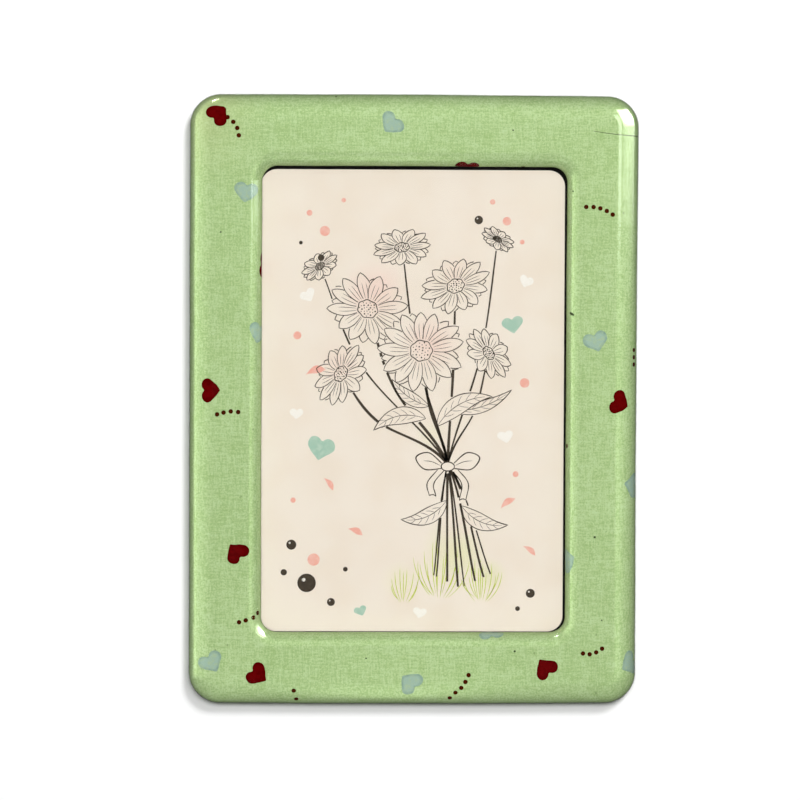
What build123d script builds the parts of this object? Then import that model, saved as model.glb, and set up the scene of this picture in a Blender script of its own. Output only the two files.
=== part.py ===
"""Magnetic photo frame: a pressed tinplate border wrapped in printed paper and clear film.

Everything is drawn lying on its back, in millimetres: X across, Y up the picture and Z out
of the face. stood_up turns each piece upright as it is written, so that the face looks
along -Y, the top of the picture is +Z and the back of the magnet lies on the plane Y = 0,
with the origin at its centre.
"""

from build123d import *
from math import sqrt
import os

# Opening and border
window_width = 57.6
window_height = 87.8
border = 13.3
outer_corner_radius = 5.9
window_corner_radius = 2.6

# Skins of the border, from the inside out
tin_thickness = 0.25
paper_thickness = 0.15
film_thickness = 0.1
skin_clearance = 0.03

# Drawn section of the border
outer_shoulder_width = 4.6
outer_shoulder_height = 3.5
window_shoulder_width = 2.8
window_shoulder_height = 2.8
skirt_height = 0.3
hem_inside_radius = 0.25
hem_lip = 1.7
tuck_length = 1.1

# Moulded ring that the hems close on
ring_clearance = 0.1
ring_floor = 0.9
ring_wall = 0.8
ring_rib = 0.7
ring_rib_pitch = 11.0
ring_wall_share = 0.5

# Pane, card and the pocket that they slide in
pane_thickness = 0.3
card_thickness = 0.25
sheet_clearance = 0.08
sheet_play = 0.1
pocket_side_lap = 1.85
pocket_end_lap = 1.0
card_gap_left = 0.12
card_gap_right = 0.4
card_gap_bottom = 0.17
card_gap_top = 0.74
card_corner_radius = 3.0
pane_corner_radius = 1.0
pane_setback = 3.0

# Foam strips and the magnet sheet
magnet_thickness = 0.8
magnet_inset = 1.5
strip_inset = 0.6
strip_joint_gap = 0.15
notch_width = 18.0
notch_margin = 1.6
notch_lead_radius = 1.5

# Worked-out sizes
frame_width = window_width + 2 * border
frame_height = window_height + 2 * border
paper_depth = film_thickness + skin_clearance
tin_depth = paper_depth + paper_thickness + skin_clearance
stack = tin_depth + tin_thickness
hem_radius = stack + hem_inside_radius
shell_height = hem_radius + skirt_height + outer_shoulder_height
lip_end = hem_radius + hem_lip
tuck_height = 2 * tin_depth + tin_thickness
strip_thickness = pane_thickness + card_thickness + 3 * sheet_clearance
hem_plane = magnet_thickness + strip_thickness
pocket_width = window_width + 2 * pocket_side_lap
pocket_floor = -(window_height / 2 + pocket_end_lap)
magnet_width = frame_width - 2 * magnet_inset
magnet_height = frame_height - 2 * magnet_inset

# Width and height of the rolled shoulder at each edge of the border
outer_shoulder = (outer_shoulder_width, outer_shoulder_height)
window_shoulder = (window_shoulder_width, window_shoulder_height)


def rounded_plate(width, height, radius, level, thickness):
    """A flat plate with rounded corners, centred, with its lower face at level."""
    return Pos(0, 0, level) * extrude(RectangleRounded(width, height, radius), thickness)


def outline_plate(inset, level, thickness):
    """A plate of the frame's outer outline, drawn in by inset."""
    width = frame_width - 2 * inset
    height = frame_height - 2 * inset
    return rounded_plate(width, height, outer_corner_radius - inset, level, thickness)


def window_plate(outset, level, thickness):
    """A plate of the window's outline, let out by outset."""
    width = window_width + 2 * outset
    height = window_height + 2 * outset
    return rounded_plate(width, height, window_corner_radius + outset, level, thickness)


def skin_line(depth, shoulder, tucked):
    """The line that a skin's face follows at a depth under the film's outer face.

    It runs from the free edge along the hem, round the bend, up the skirt and over the
    shoulder. X is the inset from the outline and Y the height over the back of the hem.
    A tucked skin starts inside the hem and first turns round the raw edge of the tin.
    """
    width, height = shoulder
    skirt_top = shell_height - height
    line = Curve()
    if tucked:
        edge_middle = tin_depth + tin_thickness / 2
        start = (lip_end - tuck_length, 2 * edge_middle - depth)
        line += Line(start, (lip_end, start[1]))
        line += CenterArc((lip_end, edge_middle), edge_middle - depth, 90, -180)
    line += Line((lip_end, depth), (hem_radius, depth))
    line += CenterArc((hem_radius, hem_radius), hem_radius - depth, 270, -90)
    line += Line((depth, hem_radius), (depth, skirt_top))
    line += EllipticalCenterArc(
        (width, skirt_top), width - depth, height - depth, 180, arc_size=-90
    )
    return line


def skin_section(depth, thickness, shoulder, tucked):
    """The closed section of one skin, between its outer face and its inner one."""
    outer_line = skin_line(depth, shoulder, tucked)
    inner_line = skin_line(depth + thickness, shoulder, tucked)
    free_end = Line(outer_line @ 0, inner_line @ 0)
    flat_end = Line(outer_line @ 1, inner_line @ 1)
    return make_face([*outer_line.edges(), *inner_line.edges(), free_end, flat_end])


def swept_round(section, width, height, corner_radius, side):
    """A section taken round a rounded rectangle: four straight runs and four corners.

    side is -1 where the section's inset runs inwards from the rectangle, and 1 outwards.
    """
    standing = Rot(90, 0, 0) * section
    if side < 0:
        standing = mirror(standing, about=Plane.YZ)
    standing = Pos(corner_radius, 0, 0) * standing
    quarter = revolve(standing, Axis.Z, 90)
    reach = (width / 2 - corner_radius, height / 2 - corner_radius)
    swept = []
    for turn in range(4):
        across, along = reach if turn % 2 == 0 else reach[::-1]
        run = extrude(Pos(across, -along, 0) * standing, 2 * along, dir=(0, 1, 0))
        swept.append(Rot(0, 0, 90 * turn) * run)
        swept.append(Rot(0, 0, 90 * turn) * Pos(across, along, 0) * quarter)
    return swept


def border_skin(depth, thickness, tucked):
    """One whole skin of the border: outer band, flat face and window band as one sheet."""
    outer_section = skin_section(depth, thickness, outer_shoulder, tucked)
    window_section = skin_section(depth, thickness, window_shoulder, tucked)
    bands = swept_round(outer_section, frame_width, frame_height, outer_corner_radius, -1)
    bands += swept_round(window_section, window_width, window_height, window_corner_radius, 1)
    level = shell_height - depth - thickness
    face = outline_plate(outer_shoulder_width, level, thickness)
    face -= window_plate(window_shoulder_width, level, thickness)
    return Pos(0, 0, hem_plane) * (face + bands)


def inside_inset(shoulder, level):
    """How far in the tin's inner face lies at a level, where the shoulder leans over."""
    width, height = shoulder
    rise = max(level - (shell_height - height), 0)
    lean = 1 - (rise / (height - stack)) ** 2
    return width - (width - stack) * sqrt(lean)


def ring_ribs(outer_wall_inset, window_wall_inset, level, height):
    """The cross ribs that tie the ring's two walls together, evenly spaced along each side."""
    length = border - outer_wall_inset - window_wall_inset - ring_wall
    middle = (outer_wall_inset - window_wall_inset) / 2
    ribs = []
    for turn in range(4):
        side = (window_height, window_width)[turn % 2]
        away = (frame_width, frame_height)[turn % 2] / 2 - border / 2 - middle
        count = max(2, int(side / ring_rib_pitch))
        for place in range(count):
            along = side * (place / (count - 1) - 1 / 2)
            rib = Pos(away, along, level) * Box(
                length, ring_rib, height, align=(Align.CENTER, Align.CENTER, Align.MIN)
            )
            ribs.append(Rot(0, 0, 90 * turn) * rib)
    return ribs


def make_backing_ring():
    """The moulded ring inside the channel: floor, two walls, ribs and the land at the back."""
    seat = tuck_height + ring_clearance
    floor_top = seat + ring_floor
    wall_top = floor_top + ring_wall_share * (shell_height - stack - floor_top)
    wall_height = wall_top - floor_top
    floor_outer = inside_inset(outer_shoulder, floor_top) + ring_clearance
    floor_window = inside_inset(window_shoulder, floor_top) + ring_clearance
    wall_outer = inside_inset(outer_shoulder, wall_top) + ring_clearance
    wall_window = inside_inset(window_shoulder, wall_top) + ring_clearance
    land_inset = lip_end + tuck_height / 2 + ring_clearance
    ring = outline_plate(floor_outer, seat, ring_floor)
    ring -= window_plate(floor_window, seat, ring_floor)
    land = outline_plate(land_inset, 0, seat) - window_plate(land_inset, 0, seat)
    outer_wall = outline_plate(wall_outer, floor_top, wall_height)
    outer_wall -= outline_plate(wall_outer + ring_wall, floor_top, wall_height)
    window_wall = window_plate(wall_window + ring_wall, floor_top, wall_height)
    window_wall -= window_plate(wall_window, floor_top, wall_height)
    ribs = ring_ribs(wall_outer, wall_window, floor_top, wall_height)
    return Pos(0, 0, hem_plane) * (ring + [land, outer_wall, window_wall, *ribs])


def make_window_pane():
    """The clear pane: as wide as the pocket, from its floor to just inside its mouth."""
    bottom = pocket_floor + sheet_play
    top = magnet_height / 2 - pane_setback
    width = pocket_width - 2 * sheet_play
    level = hem_plane - sheet_clearance - pane_thickness
    plate = rounded_plate(width, top - bottom, pane_corner_radius, level, pane_thickness)
    return Pos(0, (top + bottom) / 2, 0) * plate


def card_edges():
    """Left, right, bottom and top edges of the card, which has settled low and to the left."""
    left = -window_width / 2 + card_gap_left
    right = window_width / 2 - card_gap_right
    bottom = -window_height / 2 + card_gap_bottom
    top = window_height / 2 - card_gap_top
    return left, right, bottom, top


def make_photo_card():
    """The printed card, cut a little smaller than the window so that a dark line shows round it.

    The pane and the magnet sheet hold it between them with hardly any play.
    """
    left, right, bottom, top = card_edges()
    level = hem_plane - 2 * sheet_clearance - pane_thickness - card_thickness
    width = right - left
    plate = rounded_plate(width, top - bottom, card_corner_radius, level, card_thickness)
    return Pos((left + right) / 2, (bottom + top) / 2, 0) * plate


def strip(left, right, bottom, top):
    """One straight length of foam tape between the hem plane and the magnet."""
    plate = extrude(Rectangle(right - left, top - bottom), strip_thickness)
    return Pos((left + right) / 2, (bottom + top) / 2, magnet_thickness) * plate


def make_spacer_strips():
    """The three foam strips that leave a pocket open at the top: left, right and bottom."""
    side = magnet_width / 2 - strip_inset
    end = magnet_height / 2 - strip_inset
    wall = pocket_width / 2
    reach = wall - strip_joint_gap
    return {
        "spacer_strip_left": strip(-side, -wall, -end, end),
        "spacer_strip_right": strip(wall, side, -end, end),
        "spacer_strip_bottom": strip(-reach, reach, -end, pocket_floor),
    }


def make_magnet_sheet():
    """The flexible magnet that closes the back, with a thumb notch at the pocket's mouth."""
    radius = outer_corner_radius - magnet_inset
    sheet = rounded_plate(magnet_width, magnet_height, radius, 0, magnet_thickness)
    notch_foot = window_height / 2 + notch_margin
    notch_radius = notch_width / 2
    mouth = magnet_height / 2
    slot = Pos(0, (notch_foot + notch_radius + mouth) / 2) * Rectangle(
        notch_width, mouth - notch_foot - notch_radius
    )
    slot += Pos(0, notch_foot + notch_radius) * Circle(notch_radius)
    sheet -= extrude(slot, magnet_thickness)
    lips = sheet.edges().filter_by(Axis.Z).filter_by(
        lambda edge: abs(abs(edge.center().X) - notch_radius) < notch_lead_radius
        and edge.center().Y > mouth - notch_lead_radius
    )
    return fillet(lips, notch_lead_radius)


def stood_up(piece):
    """Turn a piece from lying on its back to standing upright."""
    return Rot(90, 0, 0) * piece


def main():
    """Build every piece and write one STEP file for each."""
    pieces = {
        "front_shell": border_skin(tin_depth, tin_thickness, tucked=False),
        "printed_paper": border_skin(paper_depth, paper_thickness, tucked=True),
        "clear_film": border_skin(0, film_thickness, tucked=True),
        "backing_ring": make_backing_ring(),
        "window_pane": make_window_pane(),
        "photo_card": make_photo_card(),
        "magnet_sheet": make_magnet_sheet(),
    }
    pieces.update(make_spacer_strips())
    os.makedirs("parts", exist_ok=True)
    for name, piece in pieces.items():
        export_step(stood_up(piece), f"parts/{name}.step")
        print(name, "solids", len(piece.solids()), "volume", round(piece.volume, 1))


main()
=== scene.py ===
"""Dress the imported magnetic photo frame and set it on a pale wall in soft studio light.

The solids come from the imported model. The pressed border is made again here with its wrapped
paper and film as thin smooth skins, the print is laid on the paper as thin patches, and the
card gets its drawing. Shapes are worked out lying on their back, in millimetres: X across, Y up
the picture and Z out of the face. stood_up turns them to the frame's own axes, in metres.
"""

import logging
import math
import random
from dataclasses import dataclass
from enum import Enum
from functools import partial
from typing import Any, Callable, Iterable, NamedTuple, Sequence

import bmesh
import bpy
import numpy as np
from mathutils import Matrix, Vector


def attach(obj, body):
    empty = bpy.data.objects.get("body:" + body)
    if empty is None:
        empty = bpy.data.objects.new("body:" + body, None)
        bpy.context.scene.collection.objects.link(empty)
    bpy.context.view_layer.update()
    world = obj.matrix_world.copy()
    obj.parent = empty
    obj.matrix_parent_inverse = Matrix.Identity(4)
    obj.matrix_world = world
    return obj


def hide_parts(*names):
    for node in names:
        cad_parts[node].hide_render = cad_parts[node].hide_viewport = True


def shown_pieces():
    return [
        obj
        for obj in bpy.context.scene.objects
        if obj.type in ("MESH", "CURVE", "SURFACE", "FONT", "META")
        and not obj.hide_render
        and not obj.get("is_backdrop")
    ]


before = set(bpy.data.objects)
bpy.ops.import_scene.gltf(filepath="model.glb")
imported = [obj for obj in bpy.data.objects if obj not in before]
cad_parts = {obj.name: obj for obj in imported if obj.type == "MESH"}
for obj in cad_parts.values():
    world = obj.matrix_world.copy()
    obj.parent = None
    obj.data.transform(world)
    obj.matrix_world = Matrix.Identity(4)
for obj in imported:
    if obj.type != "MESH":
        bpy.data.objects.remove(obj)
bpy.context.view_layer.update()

Material, Mesh, Node = bpy.types.Material, bpy.types.Mesh, bpy.types.Node
AddNode = Callable[..., Node]
Place = Callable[[np.ndarray], np.ndarray]
Point = tuple[float, float]
Triple = tuple[float, float, float]
Stroke = tuple[np.ndarray, np.ndarray]

LOG = logging.getLogger("photo_frame")
MM = 0.001
WHITE = "#FFFFFF"
# Points this near in metres are one point, and edges from this angle are sharp
MERGE_WITHIN = 1e-8
SHARP_FROM = math.radians(40.0)
# Millimetres from the mount out to the card's face, and from the film's face in to the paper's
CARD_FACE = 1.13
PAPER_DEPTH = 0.13
# Rings of an ink patch from its centre to its rim, and the turn from seed to seed of a daisy
RING_SHARES = (0.12, 0.24, 0.37, 0.5, 0.64, 0.78, 0.91, 1.0)
GOLDEN_ANGLE = 2.39996

# Settings that many nodes share
PLUS, MINUS, TIMES = ({"operation": name} for name in ("ADD", "SUBTRACT", "MULTIPLY"))
SMOOTH = {"interpolation_type": "SMOOTHSTEP"}
COLOURS = {"data_type": "RGBA"}


class Body(Enum):
    """The bodies that made pieces ride on."""

    FRAME = "frame"
    CARD = "card"


class Slot(Enum):
    """The record's material slots, named beside the made pieces."""

    TINPLATE = "tinplate"
    PRINTED_PAPER = "printed_paper"
    CLEAR_FILM = "clear_film"
    PRINTED_CARD = "printed_card"


class Outline(NamedTuple):
    """A rounded rectangle in millimetres, centred across, its middle at a height."""

    half_width: float
    half_height: float
    corner: float
    middle: float = 0.0


# Colours and nodes


def linear(hex_colour: str) -> tuple[float, float, float, float]:
    """Turn an sRGB hex colour to linear light.

    Args:
        hex_colour: Six hex digits after a hash sign.

    Returns:
        Red, green, blue and an alpha of one.
    """
    shares = [int(hex_colour[i : i + 2], 16) / 255 for i in (1, 3, 5)]
    light = [s / 12.92 if s <= 0.04045 else ((s + 0.055) / 1.055) ** 2.4 for s in shares]
    return (light[0], light[1], light[2], 1.0)


def add_node(tree: bpy.types.NodeTree, kind: str, *numbered: Any, **named: Any) -> Node:
    """Add a node to a tree with its settings and its inputs.

    A node given as an input stands for its first open output.

    Args:
        tree: The tree that gets the node.
        kind: The node's type name, less ShaderNode.
        numbered: Values, sockets or nodes for the open inputs in turn, None to leave one.
        named: Settings, and inputs under their names with capitals and _ for a space.

    Returns:
        The new node.
    """
    node = tree.nodes.new(kind if "Node" in kind else f"ShaderNode{kind}")
    for name, value in named.items():
        if name[0].islower():
            setattr(node, name, value)
    inputs = list(zip([socket for socket in node.inputs if socket.enabled], numbered))
    inputs += [(node.inputs[k.replace("_", " ")], v) for k, v in named.items() if k[0].isupper()]
    for socket, value in inputs:
        if isinstance(value, bpy.types.Node):
            value = next(output for output in value.outputs if output.enabled)
        if isinstance(value, bpy.types.NodeSocket):
            tree.links.new(value, socket)
        elif value is not None:
            socket.default_value = value
    return node


def grain(node: AddNode, size: float | Triple, detail: float, distortion: float = 0.0) -> Node:
    """Noise in the piece's own space whose lumps have a real size.

    Args:
        node: Adds a node to the material.
        size: Size of a lump in millimetres, one for all axes or one for each.
        detail: How many finer octaves it has.
        distortion: How far it is warped.

    Returns:
        The noise.
    """
    scale = [1 / (s * MM) for s in (size if isinstance(size, tuple) else (size,) * 3)]
    mapping = node("Mapping", Vector=node("TexCoord").outputs["Object"], Scale=scale)
    return node("TexNoise", Vector=mapping, Scale=1.0, Detail=detail, Roughness=0.55,
                Distortion=distortion)


def outline_distance(node: AddNode, outline: Outline) -> Node:
    """How far a place is from an outline's inner skeleton, its corner radius at the line.

    Args:
        node: Adds a node to the material.
        outline: The outline.

    Returns:
        The distance in metres.
    """
    wide, high, corner, middle = (value * MM for value in outline)
    vector: Any = node("TexCoord").outputs["Object"]
    for operation, value in (
        ("SUBTRACT", (0, 0, middle)), ("ABSOLUTE", None),
        ("SUBTRACT", (wide - corner, 0, high - corner)), ("MAXIMUM", (0, 0, 0)),
        ("MULTIPLY", (1, 0, 1)), ("LENGTH", None),
    ):
        vector = node("VectorMath", vector, value, operation=operation)
    return vector


# Finishes


@dataclass(frozen=True)
class Finish:
    """What every finish shares: a name, and a surface that its own class lays."""

    name: str

    def build(self) -> Material:
        """Make the material.

        Returns:
            The material with its surface.
        """
        material = bpy.data.materials.new(self.name)
        material.use_nodes = True
        material.node_tree.nodes.clear()
        node = partial(add_node, material.node_tree)
        node("OutputMaterial", Surface=self.surface(node))
        return material

    def surface(self, node: AddNode) -> Node:
        """Lay the surface's nodes; each kind of finish has its own."""
        raise NotImplementedError


@dataclass(frozen=True)
class LinenPrintedPaper(Finish):
    """Coated wrapping paper, offset printed with a fine linen ground.

    It reads as a soft green with a fine grain, faint crossed threads, cloudy tone and scattered
    darker fibres, a little yellow at the upper left corner. Light that goes through the ink
    comes back off the coating in the ink's own colour, so the shoulders have a green sheen.
    """

    name: str = "linen printed paper"
    green: str = "#AEC78D"
    deep_green: str = "#9AB678"
    pale_green: str = "#BCD49F"
    aged: str = "#B7BA86"
    fibre: str = "#6C7F50"
    thread: float = 0.26
    thread_run: float = 2.2
    thread_height: float = 0.008
    fleck: float = 0.32
    cloud: float = 2.6
    shade_field: float = 17.0
    aged_across: Point = (-26.0, -44.0)
    aged_upward: Point = (36.0, 60.0)
    fibre_spacing: float = 2.3
    sheen: float = 0.15
    roughness: float = 0.24

    def surface(self, node: AddNode) -> Node:
        """Lay the printed ground under its coating.

        Args:
            node: Adds a node to the material.

        Returns:
            The surface.
        """
        upright = grain(node, (self.thread, self.thread, self.thread_run), 1.0)
        level = grain(node, (self.thread_run, self.thread, self.thread), 1.0)
        threads = node("Math", upright, level, **PLUS)
        fleck, cloud = grain(node, self.fleck, 3.0), grain(node, self.cloud, 4.0, 0.6)
        field = grain(node, self.shade_field, 2.0)
        deep, pale = linear(self.deep_green), linear(self.pale_green)
        colour: Any = linear(self.green)
        for value, start, end, strength, tint in (
            (field, 0.5, 0.7, 0.4, deep), (field, 0.5, 0.3, 0.35, pale),
            (cloud, 0.5, 0.72, 0.5, pale), (cloud, 0.5, 0.3, 0.5, deep),
            (threads, 1.0, 1.28, 0.65, pale), (threads, 1.0, 0.74, 0.8, deep),
            (fleck, 0.52, 0.68, 0.85, pale), (fleck, 0.48, 0.33, 0.95, deep),
        ):
            share = node("MapRange", value, start, end, 0, strength)
            colour = node("Mix", share, colour, tint, **COLOURS)
        colour = node("Mix", self.corner_share(node, field), colour, linear(self.aged), **COLOURS)
        for spacing, reach, strength in (
            (self.fibre_spacing, 0.1, 0.55), (self.fibre_spacing * 0.45, 0.16, 0.22)
        ):
            share = self.fibre_share(node, spacing, reach, strength)
            colour = node("Mix", share, colour, linear(self.fibre), **COLOURS)
        bump = node("Bump", Height=threads, Distance=self.thread_height * MM, Strength=0.25)
        return node("BsdfPrincipled", Base_Color=colour, Metallic=self.sheen, Normal=bump,
                    Roughness=self.roughness, Specular_IOR_Level=0.0)

    def corner_share(self, node: AddNode, field: Node) -> Node:
        """How yellowed the paper is, most at the upper left corner.

        Args:
            node: Adds a node to the material.
            field: A slow noise that breaks it up.

        Returns:
            A share from 0 to 1.
        """
        axes = node("SeparateXYZ", node("TexCoord").outputs["Object"]).outputs
        across, upward = (
            node("MapRange", axes[axis], start * MM, end * MM, 0, 1, **SMOOTH)
            for axis, (start, end) in (("X", self.aged_across), ("Z", self.aged_upward))
        )
        patchy = node("MapRange", field, 0.3, 0.6, 0.35, 1, **SMOOTH)
        most = node("Math", patchy, 0.6, **TIMES)
        return node("Math", node("Math", across, upward, **TIMES), most, **TIMES)

    def fibre_share(self, node: AddNode, spacing: float, reach: float, strength: float) -> Node:
        """Where a dark fibre shows in the stock.

        Args:
            node: Adds a node to the material.
            spacing: Distance between places that may have one, in millimetres.
            reach: Size of one as a share of the spacing.
            strength: How dark the darkest is.

        Returns:
            A share from 0 to 1.
        """
        scale = 1 / (spacing * MM)
        mapping = node("Mapping", Vector=node("TexCoord").outputs["Object"],
                       Scale=(scale, scale, scale * 0.7))
        cells = node("TexVoronoi", Vector=mapping, Scale=1.0, Randomness=1.0).outputs
        near = node("MapRange", cells["Distance"], reach * 0.4, reach, 1, 0, **SMOOTH)
        tint = node("SeparateColor", cells["Color"])
        chosen = node("MapRange", tint, 0.55, 1.0, 0, 1, **SMOOTH)
        return node("Math", node("Math", near, chosen, **TIMES), strength, **TIMES)


@dataclass(frozen=True)
class ClearSheet(Finish):
    """Clear plastic sheet: wrapped polyester film or the rigid window pane.

    It lets the print through and gives it one hard glossy skin on its outer faces, with a faint
    orange peel. In the window's throat its gloss is held back as painted shade, so the inner wall
    stays dark. A rigid sheet has a grey tone and a dark cut rim.
    """

    index: float
    roughness: float
    ripple: float
    ripple_depth: float
    throat: Outline | None = None
    cut_rim: Outline | None = None
    tone: str = WHITE
    rim_tone: str = "#C4CDCD"
    throat_fade: Point = (0.3, 0.9)
    rim_fade: Point = (-0.45, -0.2)

    def surface(self, node: AddNode) -> Node:
        """Lay a gloss over a clear body.

        Args:
            node: Adds a node to the material.

        Returns:
            The surface.
        """
        peel = grain(node, self.ripple, 1.0)
        normal = node("Bump", Height=peel, Distance=self.ripple_depth * MM, Strength=1.0)
        fresnel = node("Fresnel", IOR=self.index, Normal=normal)
        outside = node("Math", 1.0, node("NewGeometry").outputs["Backfacing"], **MINUS)
        share = node("Math", fresnel, outside, **TIMES)
        tone: Any = linear(self.tone)
        if self.throat:
            # Painted shade: the film's gloss is held back in the window's throat, so the inner wall
            # reads dark.
            dull = self.beyond(node, self.throat, self.throat_fade)
            share = node("Math", share, dull, **TIMES)
        if self.cut_rim:
            near = self.beyond(node, self.cut_rim, self.rim_fade)
            tone = node("Mix", near, tone, linear(self.rim_tone), **COLOURS)
        clear = node("BsdfTransparent", Color=tone)
        gloss = node("BsdfAnisotropic", Color=linear(WHITE), Roughness=self.roughness,
                     Normal=normal)
        return node("MixShader", share, clear, gloss)

    def beyond(self, node: AddNode, outline: Outline, fade: Point) -> Node:
        """How far a place is past an outline, from 0 to 1.

        Args:
            node: Adds a node to the material.
            outline: The outline.
            fade: Where the share starts and ends, in millimetres outside the line.

        Returns:
            The share.
        """
        start, end = ((outline.corner + step) * MM for step in fade)
        return node("MapRange", outline_distance(node, outline), start, end, 0, 1, **SMOOTH)


@dataclass(frozen=True)
class PrintedInk(Finish):
    """Printing ink soaked into paper: an even tone that breaks up a little at a fine scale.

    Ink that dried in a puddle has gathered in a darker rim. On the border it has the sheen of
    the coated paper under it.
    """

    colour: str
    worn: str
    mottle: float
    worn_share: float
    rim: str | None = None
    rim_share: float = 0.0
    sheen: float = 0.0
    roughness: float = 0.5

    def surface(self, node: AddNode) -> Node:
        """Lay the ink's tone and its rim.

        Args:
            node: Adds a node to the material.

        Returns:
            The surface.
        """
        cloud = grain(node, self.mottle, 3.0, 0.5)
        worn = node("MapRange", cloud, 0.4, 0.7, 0, self.worn_share, **SMOOTH)
        colour = node("Mix", worn, linear(self.colour), linear(self.worn), **COLOURS)
        if self.rim:
            edge = node("Attribute", attribute_name="rim").outputs["Fac"]
            gathered = node("MapRange", edge, 0.62, 0.97, 0, self.rim_share, **SMOOTH)
            broken = node("MapRange", cloud, 0.3, 0.6, 1, 0.45, **SMOOTH)
            share = node("Math", gathered, broken, **TIMES)
            colour = node("Mix", share, colour, linear(self.rim), **COLOURS)
        bump = node("Bump", Height=grain(node, 0.2, 2.0), Distance=0.006 * MM, Strength=0.3)
        return node("BsdfPrincipled", Base_Color=colour, Metallic=self.sheen, Normal=bump,
                    Roughness=self.roughness, Specular_IOR_Level=0.0 if self.sheen else 0.1)


@dataclass(frozen=True)
class CardStock(Finish):
    """Uncoated drawing card with soft washes of colour on its face.

    The stock is a warm cream with faint fibres, and the washes fade out with no edge, as
    watercolour does. Each wash is its middle and reach in millimetres, its strength and colour.
    """

    name: str = "uncoated drawing card"
    cream: str = "#F4EDE1"
    shaded: str = "#F1E8DA"
    washes: tuple[tuple[Point, float, float, str], ...] = ()

    def surface(self, node: AddNode) -> Node:
        """Lay the stock and its washes.

        Args:
            node: Adds a node to the material.

        Returns:
            The surface.
        """
        place = node("TexCoord").outputs["Object"]
        cloud = grain(node, 9.0, 3.0)
        share = node("MapRange", cloud, 0.35, 0.7, 0, 1, **SMOOTH)
        colour = node("Mix", share, linear(self.cream), linear(self.shaded), **COLOURS)
        level = node("SeparateXYZ", place).outputs["Y"]
        front = node("MapRange", level, -(CARD_FACE - 0.08) * MM, -(CARD_FACE - 0.14) * MM, 1, 0,
                     **SMOOTH)
        for (x, z), reach, strength, tint in self.washes:
            away = node("VectorMath", place, (x * MM, 0, z * MM), operation="DISTANCE")
            broken = node("Math", cloud, reach * MM, away, operation="MULTIPLY_ADD")
            wash = node("MapRange", broken, reach * 1.5 * MM, reach * 0.5 * MM, 0, strength,
                        **SMOOTH)
            colour = node("Mix", node("Math", wash, front, **TIMES), colour, linear(tint),
                          **COLOURS)
        bump = node("Bump", Height=grain(node, 0.5, 4.0), Distance=0.01 * MM, Strength=0.3)
        return node("BsdfPrincipled", Base_Color=colour, Roughness=0.72, IOR=1.4, Normal=bump)


@dataclass(frozen=True)
class RolledTinplate(Finish):
    """Tin-coated steel strip, cold rolled: bright grey metal with long fine rolling lines."""

    name: str = "rolled tinplate"
    colour: str = "#C9CBC8"
    dull: str = "#A9ABA8"
    line: float = 0.12
    run: float = 12.0

    def surface(self, node: AddNode) -> Node:
        """Lay the metal and its rolling lines.

        Args:
            node: Adds a node to the material.

        Returns:
            The surface.
        """
        lines = grain(node, (self.line, self.line, self.run), 3.0)
        share = node("MapRange", grain(node, 6.0, 3.0), 0.35, 0.7, 0, 0.5, **SMOOTH)
        colour = node("Mix", share, linear(self.colour), linear(self.dull), **COLOURS)
        rough = node("MapRange", lines, 0.3, 0.7, 0.22, 0.4, **SMOOTH)
        bump = node("Bump", Height=lines, Distance=0.004 * MM, Strength=0.4)
        return node("BsdfPrincipled", Base_Color=colour, Metallic=1.0, Roughness=rough,
                    Normal=bump)


@dataclass(frozen=True)
class DarkPolymer(Finish):
    """A dark plastic or rubber with a fine surface grain.

    Moulded styrene is a little shiny with a spark-eroded grain, calendered magnet rubber is dull
    with faint lines from the rollers and grey filler specks, and foam tape is dull and pitted.
    """

    colour: str
    worn: str
    roughness: float
    grain_size: float | Triple
    grain_depth: float
    cloud: float

    def surface(self, node: AddNode) -> Node:
        """Lay the dark body and its skin.

        Args:
            node: Adds a node to the material.

        Returns:
            The surface.
        """
        skin = grain(node, self.grain_size, 3.0)
        cloud = node("MapRange", grain(node, self.cloud, 3.0), 0.3, 0.7, 0.2, 1, **SMOOTH)
        tone = node("Math", cloud, skin, **TIMES)
        share = node("MapRange", tone, 0.15, 0.6, 0, 1, **SMOOTH)
        colour = node("Mix", share, linear(self.colour), linear(self.worn), **COLOURS)
        rough = node("MapRange", skin, 0.3, 0.7, self.roughness - 0.08, self.roughness + 0.08,
                     **SMOOTH)
        bump = node("Bump", Height=skin, Distance=self.grain_depth * MM, Strength=0.6)
        return node("BsdfPrincipled", Base_Color=colour, Roughness=rough, IOR=1.5, Normal=bump)


@dataclass(frozen=True)
class PalePaint(Finish):
    """Matt white paint that reads as white to the camera and keeps its shadows.

    One-sided paint is clear from behind, and to light that starts against it. Other paint is
    lifted a little towards white for the camera.
    """

    one_sided: bool
    white: float = 0.95
    bounce: float = 0.1
    lift: float = 0.38
    against: float = 0.001

    def surface(self, node: AddNode) -> Node:
        """Lay the paint.

        Args:
            node: Adds a node to the material.

        Returns:
            The surface.
        """
        rays = node("LightPath").outputs
        seen = rays["Is Camera Ray"]
        paint = node("BsdfDiffuse", Color=node("MapRange", seen, 0, 1, self.bounce, self.white))
        if not self.one_sided:
            lift = node("Math", seen, self.lift, **TIMES)
            return node("AddShader", paint, node("Emission", Color=linear(WHITE), Strength=lift))
        near = node("Math", rays["Ray Length"], self.against, operation="LESS_THAN")
        skipped = node("Math", near, node("Math", 1.0, seen, **MINUS), **TIMES)
        behind = node("NewGeometry").outputs["Backfacing"]
        share = node("Math", behind, skipped, operation="MAXIMUM")
        return node("MixShader", share, paint, node("BsdfTransparent"))


@dataclass(frozen=True)
class SoftboxCloth(Finish):
    """White diffusing cloth lit from behind: an even white glow as strong as the mesh says."""

    name: str = "softbox cloth"

    def surface(self, node: AddNode) -> Node:
        """Glow by the mesh's own attribute."""
        glow = node("Attribute", attribute_name="glow").outputs["Fac"]
        return node("Emission", Color=linear(WHITE), Strength=glow)


# Meshes and pieces


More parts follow.
